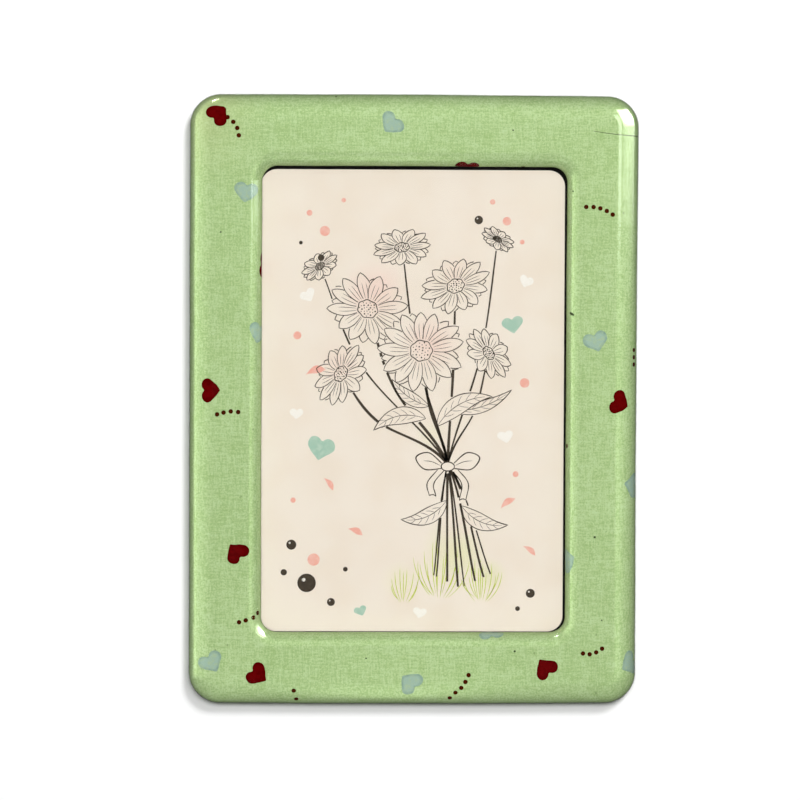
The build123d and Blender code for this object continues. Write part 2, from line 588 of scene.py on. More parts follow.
def stood_up(points: np.ndarray) -> np.ndarray:
    """Turn lying points in millimetres to standing ones in the frame's axes, in metres."""
    return np.column_stack([points[:, 0], -points[:, 2], points[:, 1]]) * MM


def put_in_scene(name: str, data: bpy.types.ID) -> bpy.types.Object:
    """Put data in the scene as a new object."""
    thing = bpy.data.objects.new(name, data)
    bpy.context.scene.collection.objects.link(thing)
    return thing


def finished(mesh: Mesh) -> Mesh:
    """Turn a closed mesh's faces outward and shade it smooth up to the sharp edges.

    Args:
        mesh: The mesh.

    Returns:
        The same mesh.
    """
    work = bmesh.new()
    work.from_mesh(mesh)
    bmesh.ops.remove_doubles(work, verts=work.verts, dist=MERGE_WITHIN)
    bmesh.ops.recalc_face_normals(work, faces=work.faces)
    work.to_mesh(mesh)
    work.free()
    mesh.shade_smooth()
    mesh.set_sharp_from_angle(angle=SHARP_FROM)
    return mesh


def add_piece(
    name: str, mesh: Mesh, finish: Material, body: Body, stands_for: str | None = None
) -> None:
    """Put a finished mesh in the scene as a piece on a body.

    Args:
        name: The piece's name.
        mesh: Its mesh, in place.
        finish: Its material.
        body: The body that it rides on.
        stands_for: The node that it replaces, if any.
    """
    mesh.name = name
    mesh.materials.clear()
    mesh.materials.append(finish)
    piece = put_in_scene(name, mesh)
    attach(piece, body.value)
    if stands_for:
        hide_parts(stands_for)
    LOG.info("%s: %d faces on %s", name, len(mesh.polygons), body.value)


def dress_node(node: str, finish: Material) -> None:
    """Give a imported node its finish.

    Args:
        node: The node's name.
        finish: The material.
    """
    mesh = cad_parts[node].data
    mesh.materials.clear()
    mesh.materials.append(finish)
    LOG.info("%s: dressed as %s", node, finish.name)


def set_attribute(mesh: Mesh, name: str, values: np.ndarray) -> None:
    """Give each point of a mesh a number or a vector.

    Args:
        mesh: The mesh.
        name: The attribute's name.
        values: One number or one row of three for each point.
    """
    kind, key = ("FLOAT_VECTOR", "vector") if values.ndim == 2 else ("FLOAT", "value")
    attribute = mesh.attributes.new(name, kind, "POINT")
    attribute.data.foreach_set(key, values.astype(np.float32).ravel())


class Recipe:
    """A geometry tree with named inputs for its sizes, and how to grow a mesh with it."""

    def __init__(self, name: str, numbers: Sequence[str], vectors: Sequence[str] = ()) -> None:
        """Start a tree, lay its nodes and end it in real geometry with its finish.

        Args:
            name: The tree's name.
            numbers: Names of the inputs that are numbers.
            vectors: Names of the inputs that are vectors.
        """
        self.tree = bpy.data.node_groups.new(name, "GeometryNodeTree")
        self.node = partial(add_node, self.tree)
        inputs = [("Geometry", "Geometry"), *((label, "Vector") for label in vectors)]
        inputs += [*((label, "Float") for label in numbers), ("Finish", "Material")]
        face = self.tree.interface
        for label, kind in inputs:
            face.new_socket(label, in_out="INPUT", socket_type=f"NodeSocket{kind}")
        face.new_socket("Geometry", in_out="OUTPUT", socket_type="NodeSocketGeometry")
        self.entry = self.node("NodeGroupInput").outputs
        real = self.node("GeometryNodeRealizeInstances", Geometry=self.lay_nodes())
        dressed = self.node("GeometryNodeSetMaterial", Geometry=real,
                            Material=self.entry["Finish"])
        self.node("NodeGroupOutput", Geometry=dressed)

    def lay_nodes(self) -> Node:
        """Lay the nodes that make the geometry; each recipe has its own."""
        raise NotImplementedError

    def named(self, name: str, kind: str = "FLOAT") -> Node:
        """Read an attribute of the points."""
        return self.node("GeometryNodeInputNamedAttribute", data_type=kind, Name=name)

    def grow(self, base: Mesh, finish: Material, place: Place, **values: Any) -> Mesh:
        """Run the tree on a mesh, and lay what grows in its place.

        Args:
            base: The mesh that it starts from.
            finish: The material for its last node.
            place: Turns the grown points to lying points in millimetres.
            values: A value for each named input.

        Returns:
            A plain mesh, standing.
        """
        carrier = put_in_scene(self.tree.name, base)
        modifier = carrier.modifiers.new("recipe", "NODES")
        modifier.node_group = self.tree
        values["Finish"] = finish
        for item in self.tree.interface.items_tree:
            if item.in_out == "INPUT" and item.socket_type != "NodeSocketGeometry":
                modifier[item.identifier] = values[item.name.replace(" ", "_")]
        view_layer = bpy.context.evaluated_depsgraph_get()
        mesh = bpy.data.meshes.new_from_object(carrier.evaluated_get(view_layer))
        carrier.modifiers.remove(modifier)
        bpy.data.objects.remove(carrier)
        bpy.data.meshes.remove(base)
        flat = np.empty(len(mesh.vertices) * 3, np.float32)
        mesh.vertices.foreach_get("co", flat)
        points = stood_up(place(flat.reshape(-1, 3).astype(float)))
        mesh.vertices.foreach_set("co", points.astype(np.float32).ravel())
        mesh.update()
        return mesh


# Border


def arc(centre: Point, radii: Point, start: float, end: float, steps: int) -> np.ndarray:
    """Points on an arc of an ellipse, without its last one.

    Args:
        centre: Its centre.
        radii: Its two radii.
        start: Angle of the first point, in degrees.
        end: Angle where it ends, in degrees.
        steps: How many parts it has.

    Returns:
        One row for each point.
    """
    angles = np.radians(np.linspace(start, end, steps + 1)[:-1])
    return np.column_stack(
        [centre[0] + radii[0] * np.cos(angles), centre[1] + radii[1] * np.sin(angles)]
    )


@dataclass(frozen=True)
class BorderForm:
    """Form of the pressed border in millimetres, as the solids have it but for the window."""

    width: float = 84.2
    height: float = 114.4
    corner: float = 5.9
    window_width: float = 57.0
    window_height: float = 87.2
    window_corner: float = 2.8
    window_shift: Point = (0.13, 0.03)
    outer_shoulder: Point = (4.6, 3.5)
    window_shoulder: Point = (2.8, 2.8)
    hem_plane: float = 1.59
    hem_radius: float = 0.81
    skirt: float = 0.3
    lip_end: float = 2.51
    tuck: float = 1.1
    edge_middle: float = 0.435
    wave: float = 0.03
    bow: float = 0.08
    pinch: float = 0.06
    bulge: float = 0.19

    @property
    def shell_height(self) -> float:
        """Height of the face over the back of the hem."""
        return self.hem_radius + self.skirt + self.outer_shoulder[1]

    def skin_line(self, depth: float, shoulder: Point, tucked: bool) -> np.ndarray:
        """Points of a skin's section from its free edge to the flat of the face.

        Args:
            depth: How deep the line lies under the film's outer face.
            shoulder: Width and height of the rolled shoulder.
            tucked: Whether the skin is turned round the raw edge of the tin.

        Returns:
            Rows of inset from the outline and height over the back of the hem.
        """
        width, height = shoulder
        runs = []
        if tucked:
            inside = np.linspace(self.lip_end - self.tuck, self.lip_end, 4)[:-1]
            level = np.full(len(inside), 2 * self.edge_middle - depth)
            turned = (self.edge_middle - depth,) * 2
            runs = [np.column_stack([inside, level]),
                    arc((self.lip_end, self.edge_middle), turned, 90, -90, 12)]
        lip = np.linspace(self.lip_end, self.hem_radius, 5)[:-1]
        bend = (self.hem_radius - depth,) * 2
        top, rolled = self.shell_height - height, (width - depth, height - depth)
        runs += [
            np.column_stack([lip, np.full(len(lip), depth)]),
            arc((self.hem_radius,) * 2, bend, 270, 180, 12),
            arc((width, top), rolled, 180, 90, 36),
            np.array([[width, self.shell_height - depth]]),
        ]
        return np.vstack(runs)

    def section(self, depth: float, thickness: float, tucked: bool) -> np.ndarray:
        """Closed section of a whole skin, from its outer free edge round to its inner face.

        Args:
            depth: How deep the skin's outer face lies.
            thickness: The skin's thickness.
            tucked: Whether it is turned round the raw edge of the tin.

        Returns:
            Rows of outer inset, window inset, share towards the window, and height.
        """
        wide, narrow = self.outer_shoulder[0], self.window_shoulder[0]
        faces = []
        for level in (depth, depth + thickness):
            top = self.shell_height - level
            outer = self.skin_line(level, self.outer_shoulder, tucked)
            window = self.skin_line(level, self.window_shoulder, tucked)[::-1]
            face = [[inset, narrow, 0, rise] for inset, rise in outer]
            face += [[wide, narrow, share, top] for share in np.linspace(0, 1, 7)[1:-1]]
            face += [[wide, inset, 1, rise] for inset, rise in window]
            faces.append(np.array(face))
        return np.vstack([faces[0], faces[1][::-1]])

    def around(self) -> tuple[np.ndarray, np.ndarray]:
        """Walk once round the border.

        Returns:
            The corner centre as shares of its reach, and the outward direction, at each step.
        """
        hubs, rays = [], []
        signs = [(1, 1), (-1, 1), (-1, -1), (1, -1)]
        for turn, (sign, steps) in enumerate(zip(signs, (28, 36, 28, 36))):
            for angle in np.radians(np.linspace(90 * turn, 90 * turn + 90, 33)):
                hubs.append((*sign, 0))
                rays.append((math.cos(angle), math.sin(angle), 0))
            after = signs[(turn + 1) % 4]
            for share in np.linspace(0, 1, steps + 1)[1:-1]:
                hubs.append((*(a + (b - a) * share for a, b in zip(sign, after)), 0))
                rays.append(rays[-1])
        return np.array(hubs), np.array(rays)

    def waved(self, points: np.ndarray) -> np.ndarray:
        """Add the slight unevenness of hand-fed pressing, less than a third of a millimetre.

        Args:
            points: Lying points in millimetres.

        Returns:
            The points, moved along the face.
        """
        x, y = points[:, 0], points[:, 1]
        shift = np.zeros_like(points)
        shift[:, 0] = np.sin(y / 6.1 + 0.7) * 0.55 + np.sin(y / 2.7 + 2.1) * 0.3
        shift[:, 1] = np.sin(x / 5.3 + 1.9) * 0.55 + np.sin(x / 2.3 + 0.4) * 0.3
        shift[:, 0] += np.sin(x / 9.0 + 1.0) * 0.2
        shift[:, 1] += np.sin(y / 8.0 + 2.0) * 0.2
        shift *= self.wave
        along, up = 2 * x / self.width, 2 * y / self.height
        shift[:, 0] += self.bow * (up**2 - 1 / 3) - self.pinch * along**3 * (1 - up**2)
        shift[:, 1] += self.bulge * up**3 * (1 / 3 - along**2)
        return points + shift


class SkinRecipe(Recipe):
    """Lays a section round both outlines of the border."""

    POINT_ATTRIBUTES = ("outer_inset", "window_inset", "share", "rise")

    def __init__(self) -> None:
        """Name the tree and its sizes."""
        super().__init__("skin round two outlines", ("Outer Corner", "Window Corner", "Hem Plane"),
                         ("Outer Reach", "Window Reach", "Window Shift"))

    def lay_nodes(self) -> Node:
        """Place each point from its corner, direction, insets, share and height.

        Returns:
            The placed skin.
        """
        node, entry = self.node, self.entry
        hub, ray = self.named("hub", "FLOAT_VECTOR"), self.named("ray", "FLOAT_VECTOR")
        outer_round = node("Math", entry["Outer Corner"], self.named("outer_inset"), **MINUS)
        window_round = node("Math", entry["Window Corner"], self.named("window_inset"), **PLUS)
        places = []
        for reach, radius in (("Outer Reach", outer_round), ("Window Reach", window_round)):
            corner = node("VectorMath", hub, entry[reach], **TIMES)
            out = node("VectorMath", ray, radius, operation="SCALE")
            places.append(node("VectorMath", corner, out, **PLUS))
        places[1] = node("VectorMath", places[1], entry["Window Shift"], **PLUS)
        mixed = node("Mix", self.named("share"), *places, data_type="VECTOR")
        parts = node("SeparateXYZ", mixed).outputs
        rise = node("Math", entry["Hem Plane"], self.named("rise"), **PLUS)
        placed = node("CombineXYZ", parts[0], parts[1], rise)
        return node("GeometryNodeSetPosition", Geometry=entry["Geometry"], Position=placed)


@dataclass(frozen=True)
class BorderSkins:
    """The tin, the paper and the film of the border, each as one closed sheet.

    The depths are those of the outer faces under the film's own.
    """

    form: BorderForm
    tin_depth: float = 0.31
    tin: float = 0.25
    paper: float = 0.15
    film: float = 0.1

    def sheet_mesh(
        self, recipe: SkinRecipe, depth: float, thickness: float, tucked: bool, finish: Material
    ) -> Mesh:
        """Make one skin.

        Args:
            recipe: Lays it round the outlines.
            depth: How deep its outer face lies under the film's outer face.
            thickness: Its thickness.
            tucked: Whether it is turned round the raw edge of the tin.
            finish: Its material.

        Returns:
            The closed mesh, standing in place.
        """
        form = self.form
        section = form.section(depth, thickness, tucked)
        hubs, rays = form.around()
        rows, steps = len(section), len(hubs)
        grid = np.arange(rows * steps).reshape(rows, steps)
        beside, below = np.roll(grid, -1, 1), np.roll(grid, -1, 0)
        faces = np.stack([grid, beside, np.roll(beside, -1, 0), below], axis=-1).reshape(-1, 4)
        mesh = bpy.data.meshes.new("skin grid")
        mesh.from_pydata(np.zeros((rows * steps, 3)).tolist(), [], faces.tolist())
        set_attribute(mesh, "hub", np.tile(hubs, (rows, 1)))
        set_attribute(mesh, "ray", np.tile(rays, (rows, 1)))
        for column, name in enumerate(recipe.POINT_ATTRIBUTES):
            set_attribute(mesh, name, np.repeat(section[:, column], steps))
        made = recipe.grow(
            mesh, finish, form.waved,
            Outer_Reach=self.reach(form.width, form.height, form.corner),
            Outer_Corner=form.corner,
            Window_Reach=self.reach(form.window_width, form.window_height, form.window_corner),
            Window_Corner=form.window_corner,
            Window_Shift=(*form.window_shift, 0.0),
            Hem_Plane=form.hem_plane,
        )
        for name in ("hub", "ray", *recipe.POINT_ATTRIBUTES):
            made.attributes.remove(made.attributes[name])
        return finished(made)

    @staticmethod
    def reach(width: float, height: float, corner: float) -> Triple:
        """How far a corner's centre lies from the middle."""
        return (width / 2 - corner, height / 2 - corner, 0.0)

    def build(self, tin: Material, paper: Material, film: Material) -> None:
        """Make the three skins and put them in the scene.

        Args:
            tin: Finish of the pressed shell.
            paper: Finish of the printed paper.
            film: Finish of the clear film.
        """
        recipe = SkinRecipe()
        for name, depth, thickness, tucked, finish, slot, node in (
            ("border_tin", self.tin_depth, self.tin, False, tin, Slot.TINPLATE, "front_shell"),
            ("border_paper", PAPER_DEPTH, self.paper, True, paper, Slot.PRINTED_PAPER,
             "printed_paper"),
            ("border_film", 0.0, self.film, True, film, Slot.CLEAR_FILM, "clear_film"),
        ):
            mesh = self.sheet_mesh(recipe, depth, thickness, tucked, finish)
            add_piece(name, mesh, finish, Body.FRAME, node)


def rounded_distance(
    points: np.ndarray, half_width: float, half_height: float, radius: float
) -> tuple[np.ndarray, np.ndarray]:
    """Distance of points from a rounded rectangle's outline, and the way that leads off it.

    Args:
        points: Rows of X and Y.
        half_width: Half of its width.
        half_height: Half of its height.
        radius: Its corner radius.

    Returns:
        Distances, above zero outside, and outward directions.
    """
    past = np.abs(points) - (np.array([half_width, half_height]) - radius)
    corner = np.maximum(past, 0)
    length = np.hypot(corner[:, 0], corner[:, 1])
    gap = length + np.minimum(past.max(1), 0) - radius
    in_corner = (past > 0).all(1)
    way = np.where((past[:, :1] > past[:, 1:]), [1.0, 0.0], [0.0, 1.0])
    way[in_corner] = corner[in_corner] / length[in_corner, None]
    return gap, way * np.where(points < 0, -1.0, 1.0)


@dataclass(frozen=True)
class PaperWrap:
    """Lays points of the flat print on the face of the rolled paper."""

    form: BorderForm

    def over(self, shoulder: Point, length: np.ndarray) -> tuple[np.ndarray, ...]:
        """Follow a shoulder by the length of paper past its start, then the straight skirt.

        Args:
            shoulder: Its width and height.
            length: Lengths of paper past the start of the shoulder.

        Returns:
            Way out, drop and lean.
        """
        wide, high = shoulder[0] - PAPER_DEPTH, shoulder[1] - PAPER_DEPTH
        turn = np.linspace(0, math.pi / 2, 300)
        out, drop = wide * np.sin(turn), high * (1 - np.cos(turn))
        run = np.concatenate([[0], np.cumsum(np.hypot(np.diff(out), np.diff(drop)))])
        lean = np.arctan2(high * np.sin(turn), wide * np.cos(turn))
        past = np.maximum(length - run[-1], 0)
        out, drop, lean = (np.interp(length, run, values) for values in (out, drop, lean))
        return out, drop + past, lean

    def place(self, points: np.ndarray) -> np.ndarray:
        """Wrap points.

        Args:
            points: Rows of X and Y on the flat print and height over the paper.

        Returns:
            Lying points in millimetres.
        """
        form, flat = self.form, points[:, :2]
        wide, narrow = form.outer_shoulder[0], form.window_shoulder[0]
        outer = rounded_distance(
            flat, form.width / 2 - wide, form.height / 2 - wide, form.corner - wide
        )
        window = rounded_distance(
            flat - np.array(form.window_shift), form.window_width / 2 + narrow,
            form.window_height / 2 + narrow, form.window_corner + narrow,
        )
        spot, drop, lean = flat.copy(), np.zeros(len(flat)), np.zeros(len(flat))
        way = np.zeros_like(flat)
        for (gap, direction), shoulder, side in (
            (outer, form.outer_shoulder, 1), (window, form.window_shoulder, -1)
        ):
            past = gap * side
            on = past > 0
            out, drop[on], lean[on] = self.over(shoulder, past[on])
            way[on] = direction[on] * side
            spot[on] += way[on] * (out - past[on])[:, None]
        height = points[:, 2]
        spot += way * (np.sin(lean) * height)[:, None]
        out = form.hem_plane + form.shell_height - PAPER_DEPTH - drop + np.cos(lean) * height
        return form.waved(np.column_stack([spot, out]))


# Print and drawing


def on_card(points: np.ndarray) -> np.ndarray:
    """Lay rows of X, Y and height over the card on its face, as lying points."""
    return points + np.array([0.0, 0.0, CARD_FACE])


def bowed(start: Point, end: Point, bow: float, count: int) -> np.ndarray:
    """Points on a slightly bowed line.

    Args:
        start: Its first point.
        end: Its last point.
        bow: How far it bows to its left, as a share of its length or less.
        count: How many points.

    Returns:
        One row for each point.
    """
    a, b = np.array(start, float), np.array(end, float)
    along = b - a
    side = np.array([-along[1], along[0]])
    share = np.linspace(0, 1, count)[:, None]
    return a + along * share + side * bow * 4 * share * (1 - share)


def curve_through(points: Sequence[Point], count: int) -> np.ndarray:
    """A smooth line through a few points.

    Args:
        points: The points that it passes.
        count: How many points it gets.

    Returns:
        One row for each point.
    """
    knots = np.array(points, float)
    padded = np.vstack([2 * knots[0] - knots[1], knots, 2 * knots[-1] - knots[-2]])
    out = []
    for t in np.linspace(0, len(knots) - 1 - 1e-9, count):
        u = t - int(t)
        a, b, c, d = padded[int(t) : int(t) + 4]
        out.append(0.5 * (2 * b + (c - a) * u + (2 * a - 5 * b + 4 * c - d) * u**2
                          + (3 * b - a - 3 * c + d) * u**3))
    return np.array(out)


def heart_outline(middle: Point, turn: float, size: float, tip: float, seed: int) -> np.ndarray:
    """Outline of a small printed heart: two round lobes drawn to a point, a little uneven.

    Args:
        middle: Middle of the two lobes.
        turn: Way that the point lies, in degrees.
        size: Radius of a lobe.
        tip: Radius of the rounded point.
        seed: Seed of the unevenness.

    Returns:
        The heart's own centre in the first row, then its outline.
    """
    draw = random.Random(seed)
    apart, reach, centre = size * 0.97, size * 2.1 - tip, size * 0.5
    angles = np.radians(np.arange(0, 360, 4.5))
    radii = np.arange(0, size * 3.4, 0.02)
    x = centre + np.outer(np.cos(angles), radii)
    y = np.outer(np.sin(angles), radii)
    inside = np.hypot(x - 0.1 * size, y) < 0.66 * size
    for side in (1, -1):
        along = (x * reach - (y - side * apart) * side * apart) / (reach**2 + apart**2)
        along = np.clip(along, 0, 1)
        away = np.hypot(x - along * reach, y - side * apart * (1 - along))
        inside |= away < size + (tip - size) * along**1.3
    edge = np.array([radii[row].max() for row in inside])
    for wave in (2, 3, 5):
        edge *= 1 + 0.018 * np.sin(wave * angles + draw.uniform(0, math.tau))
    shape = np.column_stack([centre + edge * np.cos(angles), edge * np.sin(angles)])
    c, s = math.cos(math.radians(turn)), math.sin(math.radians(turn))
    return np.vstack([[centre, 0], shape]) @ np.array([[c, s], [-s, c]]) + np.array(middle)


def patch_mesh(outlines: Iterable[np.ndarray], foot: float, top: float, place: Place) -> Mesh:
    """Thin closed patches of ink, each fanned out from its centre.

    Args:
        outlines: For each patch its centre and then its outline, flat.
        foot: Height of the underside over the surface.
        top: Height of the upper side.
        place: Lays flat points with heights on the surface.

    Returns:
        One mesh of all patches, standing in place, with how near the rim each point is.
    """
    points: list[np.ndarray] = []
    faces: list[tuple[int, ...]] = []
    nearness: list[float] = []
    rings, base = len(RING_SHARES), 0
    for shape in outlines:
        centre, outline = shape[0], shape[1:]
        count = len(outline)
        step, last = 1 + rings * count, (rings - 1) * count + 1
        flat = np.vstack([centre, *(centre + (outline - centre) * s for s in RING_SHARES)])
        ring = [(i, (i + 1) % count) for i in range(count)]
        for height, upper in ((top, True), (foot, False)):
            points.append(np.column_stack([flat, np.full(step, height)]))
            nearness += [0.0, *np.repeat(RING_SHARES, count)]
            for i, j in ring:
                fan = [(base, base + 1 + i, base + 1 + j)]
                for a in range(base + 1, base + last, count):
                    fan.append((a + i, a + count + i, a + count + j, a + j))
                faces += fan if upper else [face[::-1] for face in fan]
            base += step
        low, high = base - step + last, base - 2 * step + last
        faces += [(low + i, low + j, high + j, high + i) for i, j in ring]
    mesh = bpy.data.meshes.new("patches")
    mesh.from_pydata(stood_up(place(np.vstack(points))).tolist(), [], faces)
    set_attribute(mesh, "rim", np.array(nearness))
    return finished(mesh)


class DotRecipe(Recipe):
    """Thin round dots: a low disc on each point, as wide as the point's radius."""

    def __init__(self) -> None:
        """Name the tree and its sizes."""
        super().__init__("printed dots", ("Ink Film", "Foot"))

    def lay_nodes(self) -> Node:
        """Set a disc on each point and lift it to its foot.

        Returns:
            The discs.
        """
        node, entry = self.node, self.entry
        disc = node("GeometryNodeMeshCylinder", fill_type="TRIANGLE_FAN", Vertices=22,
                    Radius=1.0, Depth=1.0)
        radius = self.named("radius")
        size = node("CombineXYZ", radius, radius, entry["Ink Film"])
        dots = node("GeometryNodeInstanceOnPoints", Points=entry["Geometry"], Instance=disc,
                    Scale=size)
        lift = node("Math", entry["Ink Film"], 0.5, 0.0, operation="MULTIPLY_ADD")
        lift = node("Math", lift, entry["Foot"], **PLUS)
        offset = node("CombineXYZ", 0.0, 0.0, lift)
        return node("GeometryNodeTranslateInstances", Instances=dots, Translation=offset)


class StrokeRecipe(Recipe):
    """Pen strokes: a flat ribbon along each line, as wide as the line's points say."""

    def __init__(self) -> None:
        """Name the tree and its sizes."""
        super().__init__("pen strokes", ("Ink Film", "Foot"))

    def lay_nodes(self) -> Node:
        """Sweep a square nib along the lines and flatten it to an ink film.

        Returns:
            The ribbons.
        """
        node, entry = self.node, self.entry
        line = node("GeometryNodeMeshToCurve", Mesh=entry["Geometry"])
        upright = node("GeometryNodeSetCurveNormal", mode="Z_UP", Curve=line)
        nib = node("GeometryNodeCurvePrimitiveQuadrilateral", Width=1.0, Height=1.0)
        ribbon = node("GeometryNodeCurveToMesh", Curve=upright, Profile_Curve=nib,
                      Scale=self.named("width"), Fill_Caps=True)
        parts = node("SeparateXYZ", node("GeometryNodeInputPosition")).outputs
        upper = node("Math", parts[2], 0.0, operation="GREATER_THAN")
        lift = node("Math", upper, entry["Ink Film"], entry["Foot"], operation="MULTIPLY_ADD")
        flat = node("CombineXYZ", parts[0], parts[1], lift)
        return node("GeometryNodeSetPosition", Geometry=ribbon, Position=flat)


@dataclass(frozen=True)
class InkRecipes:
    """The trees that dots and pen strokes are grown with."""

    dots: DotRecipe
    strokes: StrokeRecipe


@dataclass(frozen=True)
class InkedSurface:
    """A surface that ink is laid on, and the thickness and foot of the ink in millimetres."""

    recipes: InkRecipes
    place: Place
    body: Body
    slot: Slot
    foot: float
    ink_film: float

    def lay_dots(self, name: str, dots: Sequence[Triple], ink: Material, lift: float = 0.0) -> None:
        """Lay round dots.

        Args:
            name: The piece's name.
            dots: X, Y and radius of each.
            ink: Its finish.
            lift: How far they lie over the foot.
        """
        mesh = bpy.data.meshes.new("dot centres")
        mesh.from_pydata([(x, y, 0) for x, y, _ in dots], [], [])
        set_attribute(mesh, "radius", np.array(dots)[:, 2])
        self.grow(name, self.recipes.dots, mesh, ink, lift)

    def lay_strokes(
        self, name: str, strokes: Sequence[Stroke], ink: Material, lift: float = 0.0
    ) -> None:
        """Lay pen strokes.

        Args:
            name: The piece's name.
            strokes: Points and widths of each.
            ink: Its finish.
            lift: How far they lie over the foot.
        """
        edges, start = [], 0
        for line, _ in strokes:
            edges += [(start + i, start + i + 1) for i in range(len(line) - 1)]
            start += len(line)
        points = np.vstack([line for line, _ in strokes])
        mesh = bpy.data.meshes.new("pen lines")
        mesh.from_pydata(np.column_stack([points, np.zeros(len(points))]).tolist(), edges, [])
        set_attribute(mesh, "width", np.concatenate([width for _, width in strokes]))
        self.grow(name, self.recipes.strokes, mesh, ink, lift)

    def lay_patches(self, name: str, outlines: Iterable[np.ndarray], ink: Material) -> None:
        """Lay patches.

        Args:
            name: The piece's name.
            outlines: For each patch its centre and then its outline.
            ink: Its finish.
        """
        mesh = patch_mesh(outlines, self.foot, self.foot + self.ink_film, self.place)
        add_piece(name, mesh, ink, self.body)

    def grow(self, name: str, recipe: Recipe, mesh: Mesh, ink: Material, lift: float) -> None:
        """Grow a base mesh into ink and put it in the scene.

        Args:
            name: The piece's name.
            recipe: The tree that grows it.
            mesh: The base mesh.
            ink: Its finish.
            lift: How far it lies over the foot.
        """
        grown = recipe.grow(mesh, ink, self.place, Ink_Film=self.ink_film, Foot=self.foot + lift)
        add_piece(name, finished(grown), ink, self.body)


@dataclass(frozen=True)
class BorderPrint:
    """The scattered hearts and dotted trails of the border, where the photograph has them.

    Places are millimetres on the flat print. A heart is its lobes' middle and the way that its
    point lies, in degrees, and a red one also the radius of its point. The crease and the fleck
    run from one end to the other. The crease's dark line is painted shade of a fold in the film.
    """

    surface: InkedSurface
    red_hearts: tuple[tuple[Point, float, float], ...] = (
        ((-37.2, 52.91), 45, 0.8), ((-38.63, 1.76), 1, 0.16), ((-32.77, -28.93), 128, 0.2),
        ((-29.54, -51.15), -34, 0.14), ((25.19, -50.57), 126, 0.18), ((38.12, -0.12), -23, 0.16),
        ((9.8, 43.2), -95, 0.18), ((-27.2, 25.2), -12, 0.18),
    )
    blue_hearts: tuple[tuple[Point, float], ...] = (
        ((-4.13, 51.96), -131), ((-31.41, 39.33), -98), ((-38.08, -48.71), -59),
        ((-0.12, -53.26), 137), ((33.85, 11.68), -73), ((-28.51, 13.01), -110),
        ((42.2, -15.9), 170), ((27.9, -30.2), 20), ((14.7, -43.3), 100), ((41.6, -49.2), -150),
    )
    trails: tuple[Point, ...] = (
        (-35.03, 52.69), (-33.97, 51.82), (-33.23, 50.67), (-32.93, 49.31),
        (-36.8, -2.72), (-35.59, -2.39), (-34.25, -2.16), (-32.86, -2.27),
        (-32.58, -41.61), (-31.33, -41.25), (-29.84, -40.76), (-28.8, -39.95),
        (-22.32, -54.46), (-21.84, -56.4),
        (31.92, -47.44), (33.18, -47.59), (34.4, -47.23), (35.52, -46.53),
        (41.84, 9.55), (41.86, 8.2), (41.88, 6.84),
        (32.03, 36.27), (33.41, 36.26), (34.67, 36.03), (35.9, 35.56), (37.01, 34.9),
        (10.42, -51.42), (9.83, -52.7), (9.07, -53.84), (7.99, -54.82), (6.96, -56.04),
        (20.3, 42.5), (28.0, -8.55),
    )
    specks: tuple[Triple, ...] = (
        (19.08, -46.98, 0.2), (34.05, -25.55, 0.22), (29.4, 39.2, 0.16), (-14.8, 57.2, 0.18),
        (18.2, 50.5, 0.15), (-36.2, 31.3, 0.16), (35.4, -41.2, 0.14), (-8.8, -48.3, 0.15),
    )
    crease: tuple[Point, Point] = ((33.28, 50.45), (43.2, 49.66))
    fleck: tuple[Point, Point] = ((28.75, 16.45), (29.8, 16.0))
    red_lobe: float = 1.16
    blue_lobe: float = 1.2
    blue_tip: float = 0.4
    trail_radius: float = 0.43

    def build(self, red: Material, brown: Material, blue: Material, dark: Material) -> None:
        """Lay the print on the paper.

        Args:
            red: Ink of the red hearts.
            brown: Ink of the trails.
            blue: Ink of the pale hearts.
            dark: Colour of the specks, and of the crease's painted shade.
        """
        reds = [
            heart_outline(middle, turn, self.red_lobe, tip, seed)
            for seed, (middle, turn, tip) in enumerate(self.red_hearts)
        ]
        blues = [
            heart_outline(middle, turn, self.blue_lobe, self.blue_tip, seed)
            for seed, (middle, turn) in enumerate(self.blue_hearts, 20)
        ]
        surface = self.surface
        surface.lay_patches("print_red_hearts", reds, red)
        surface.lay_patches("print_blue_hearts", blues, blue)
        trail = [(x, y, self.trail_radius) for x, y in self.trails]
        surface.lay_dots("print_red_trails", trail, brown)
        surface.lay_dots("print_specks", self.specks, dark)
        # The crease is a dark line of painted shade, where a fold in the film would shade the
        # print.
        crease, fleck = bowed(*self.crease, -0.02, 60), bowed(*self.fleck, 0.05, 10)
        marks = [(crease, 0.08 + 0.1 * np.linspace(0, 1, 60)),
                 (fleck, 0.5 * np.sin(np.linspace(0.6, 2.6, 10)))]
        surface.lay_strokes("print_crease", marks, dark)


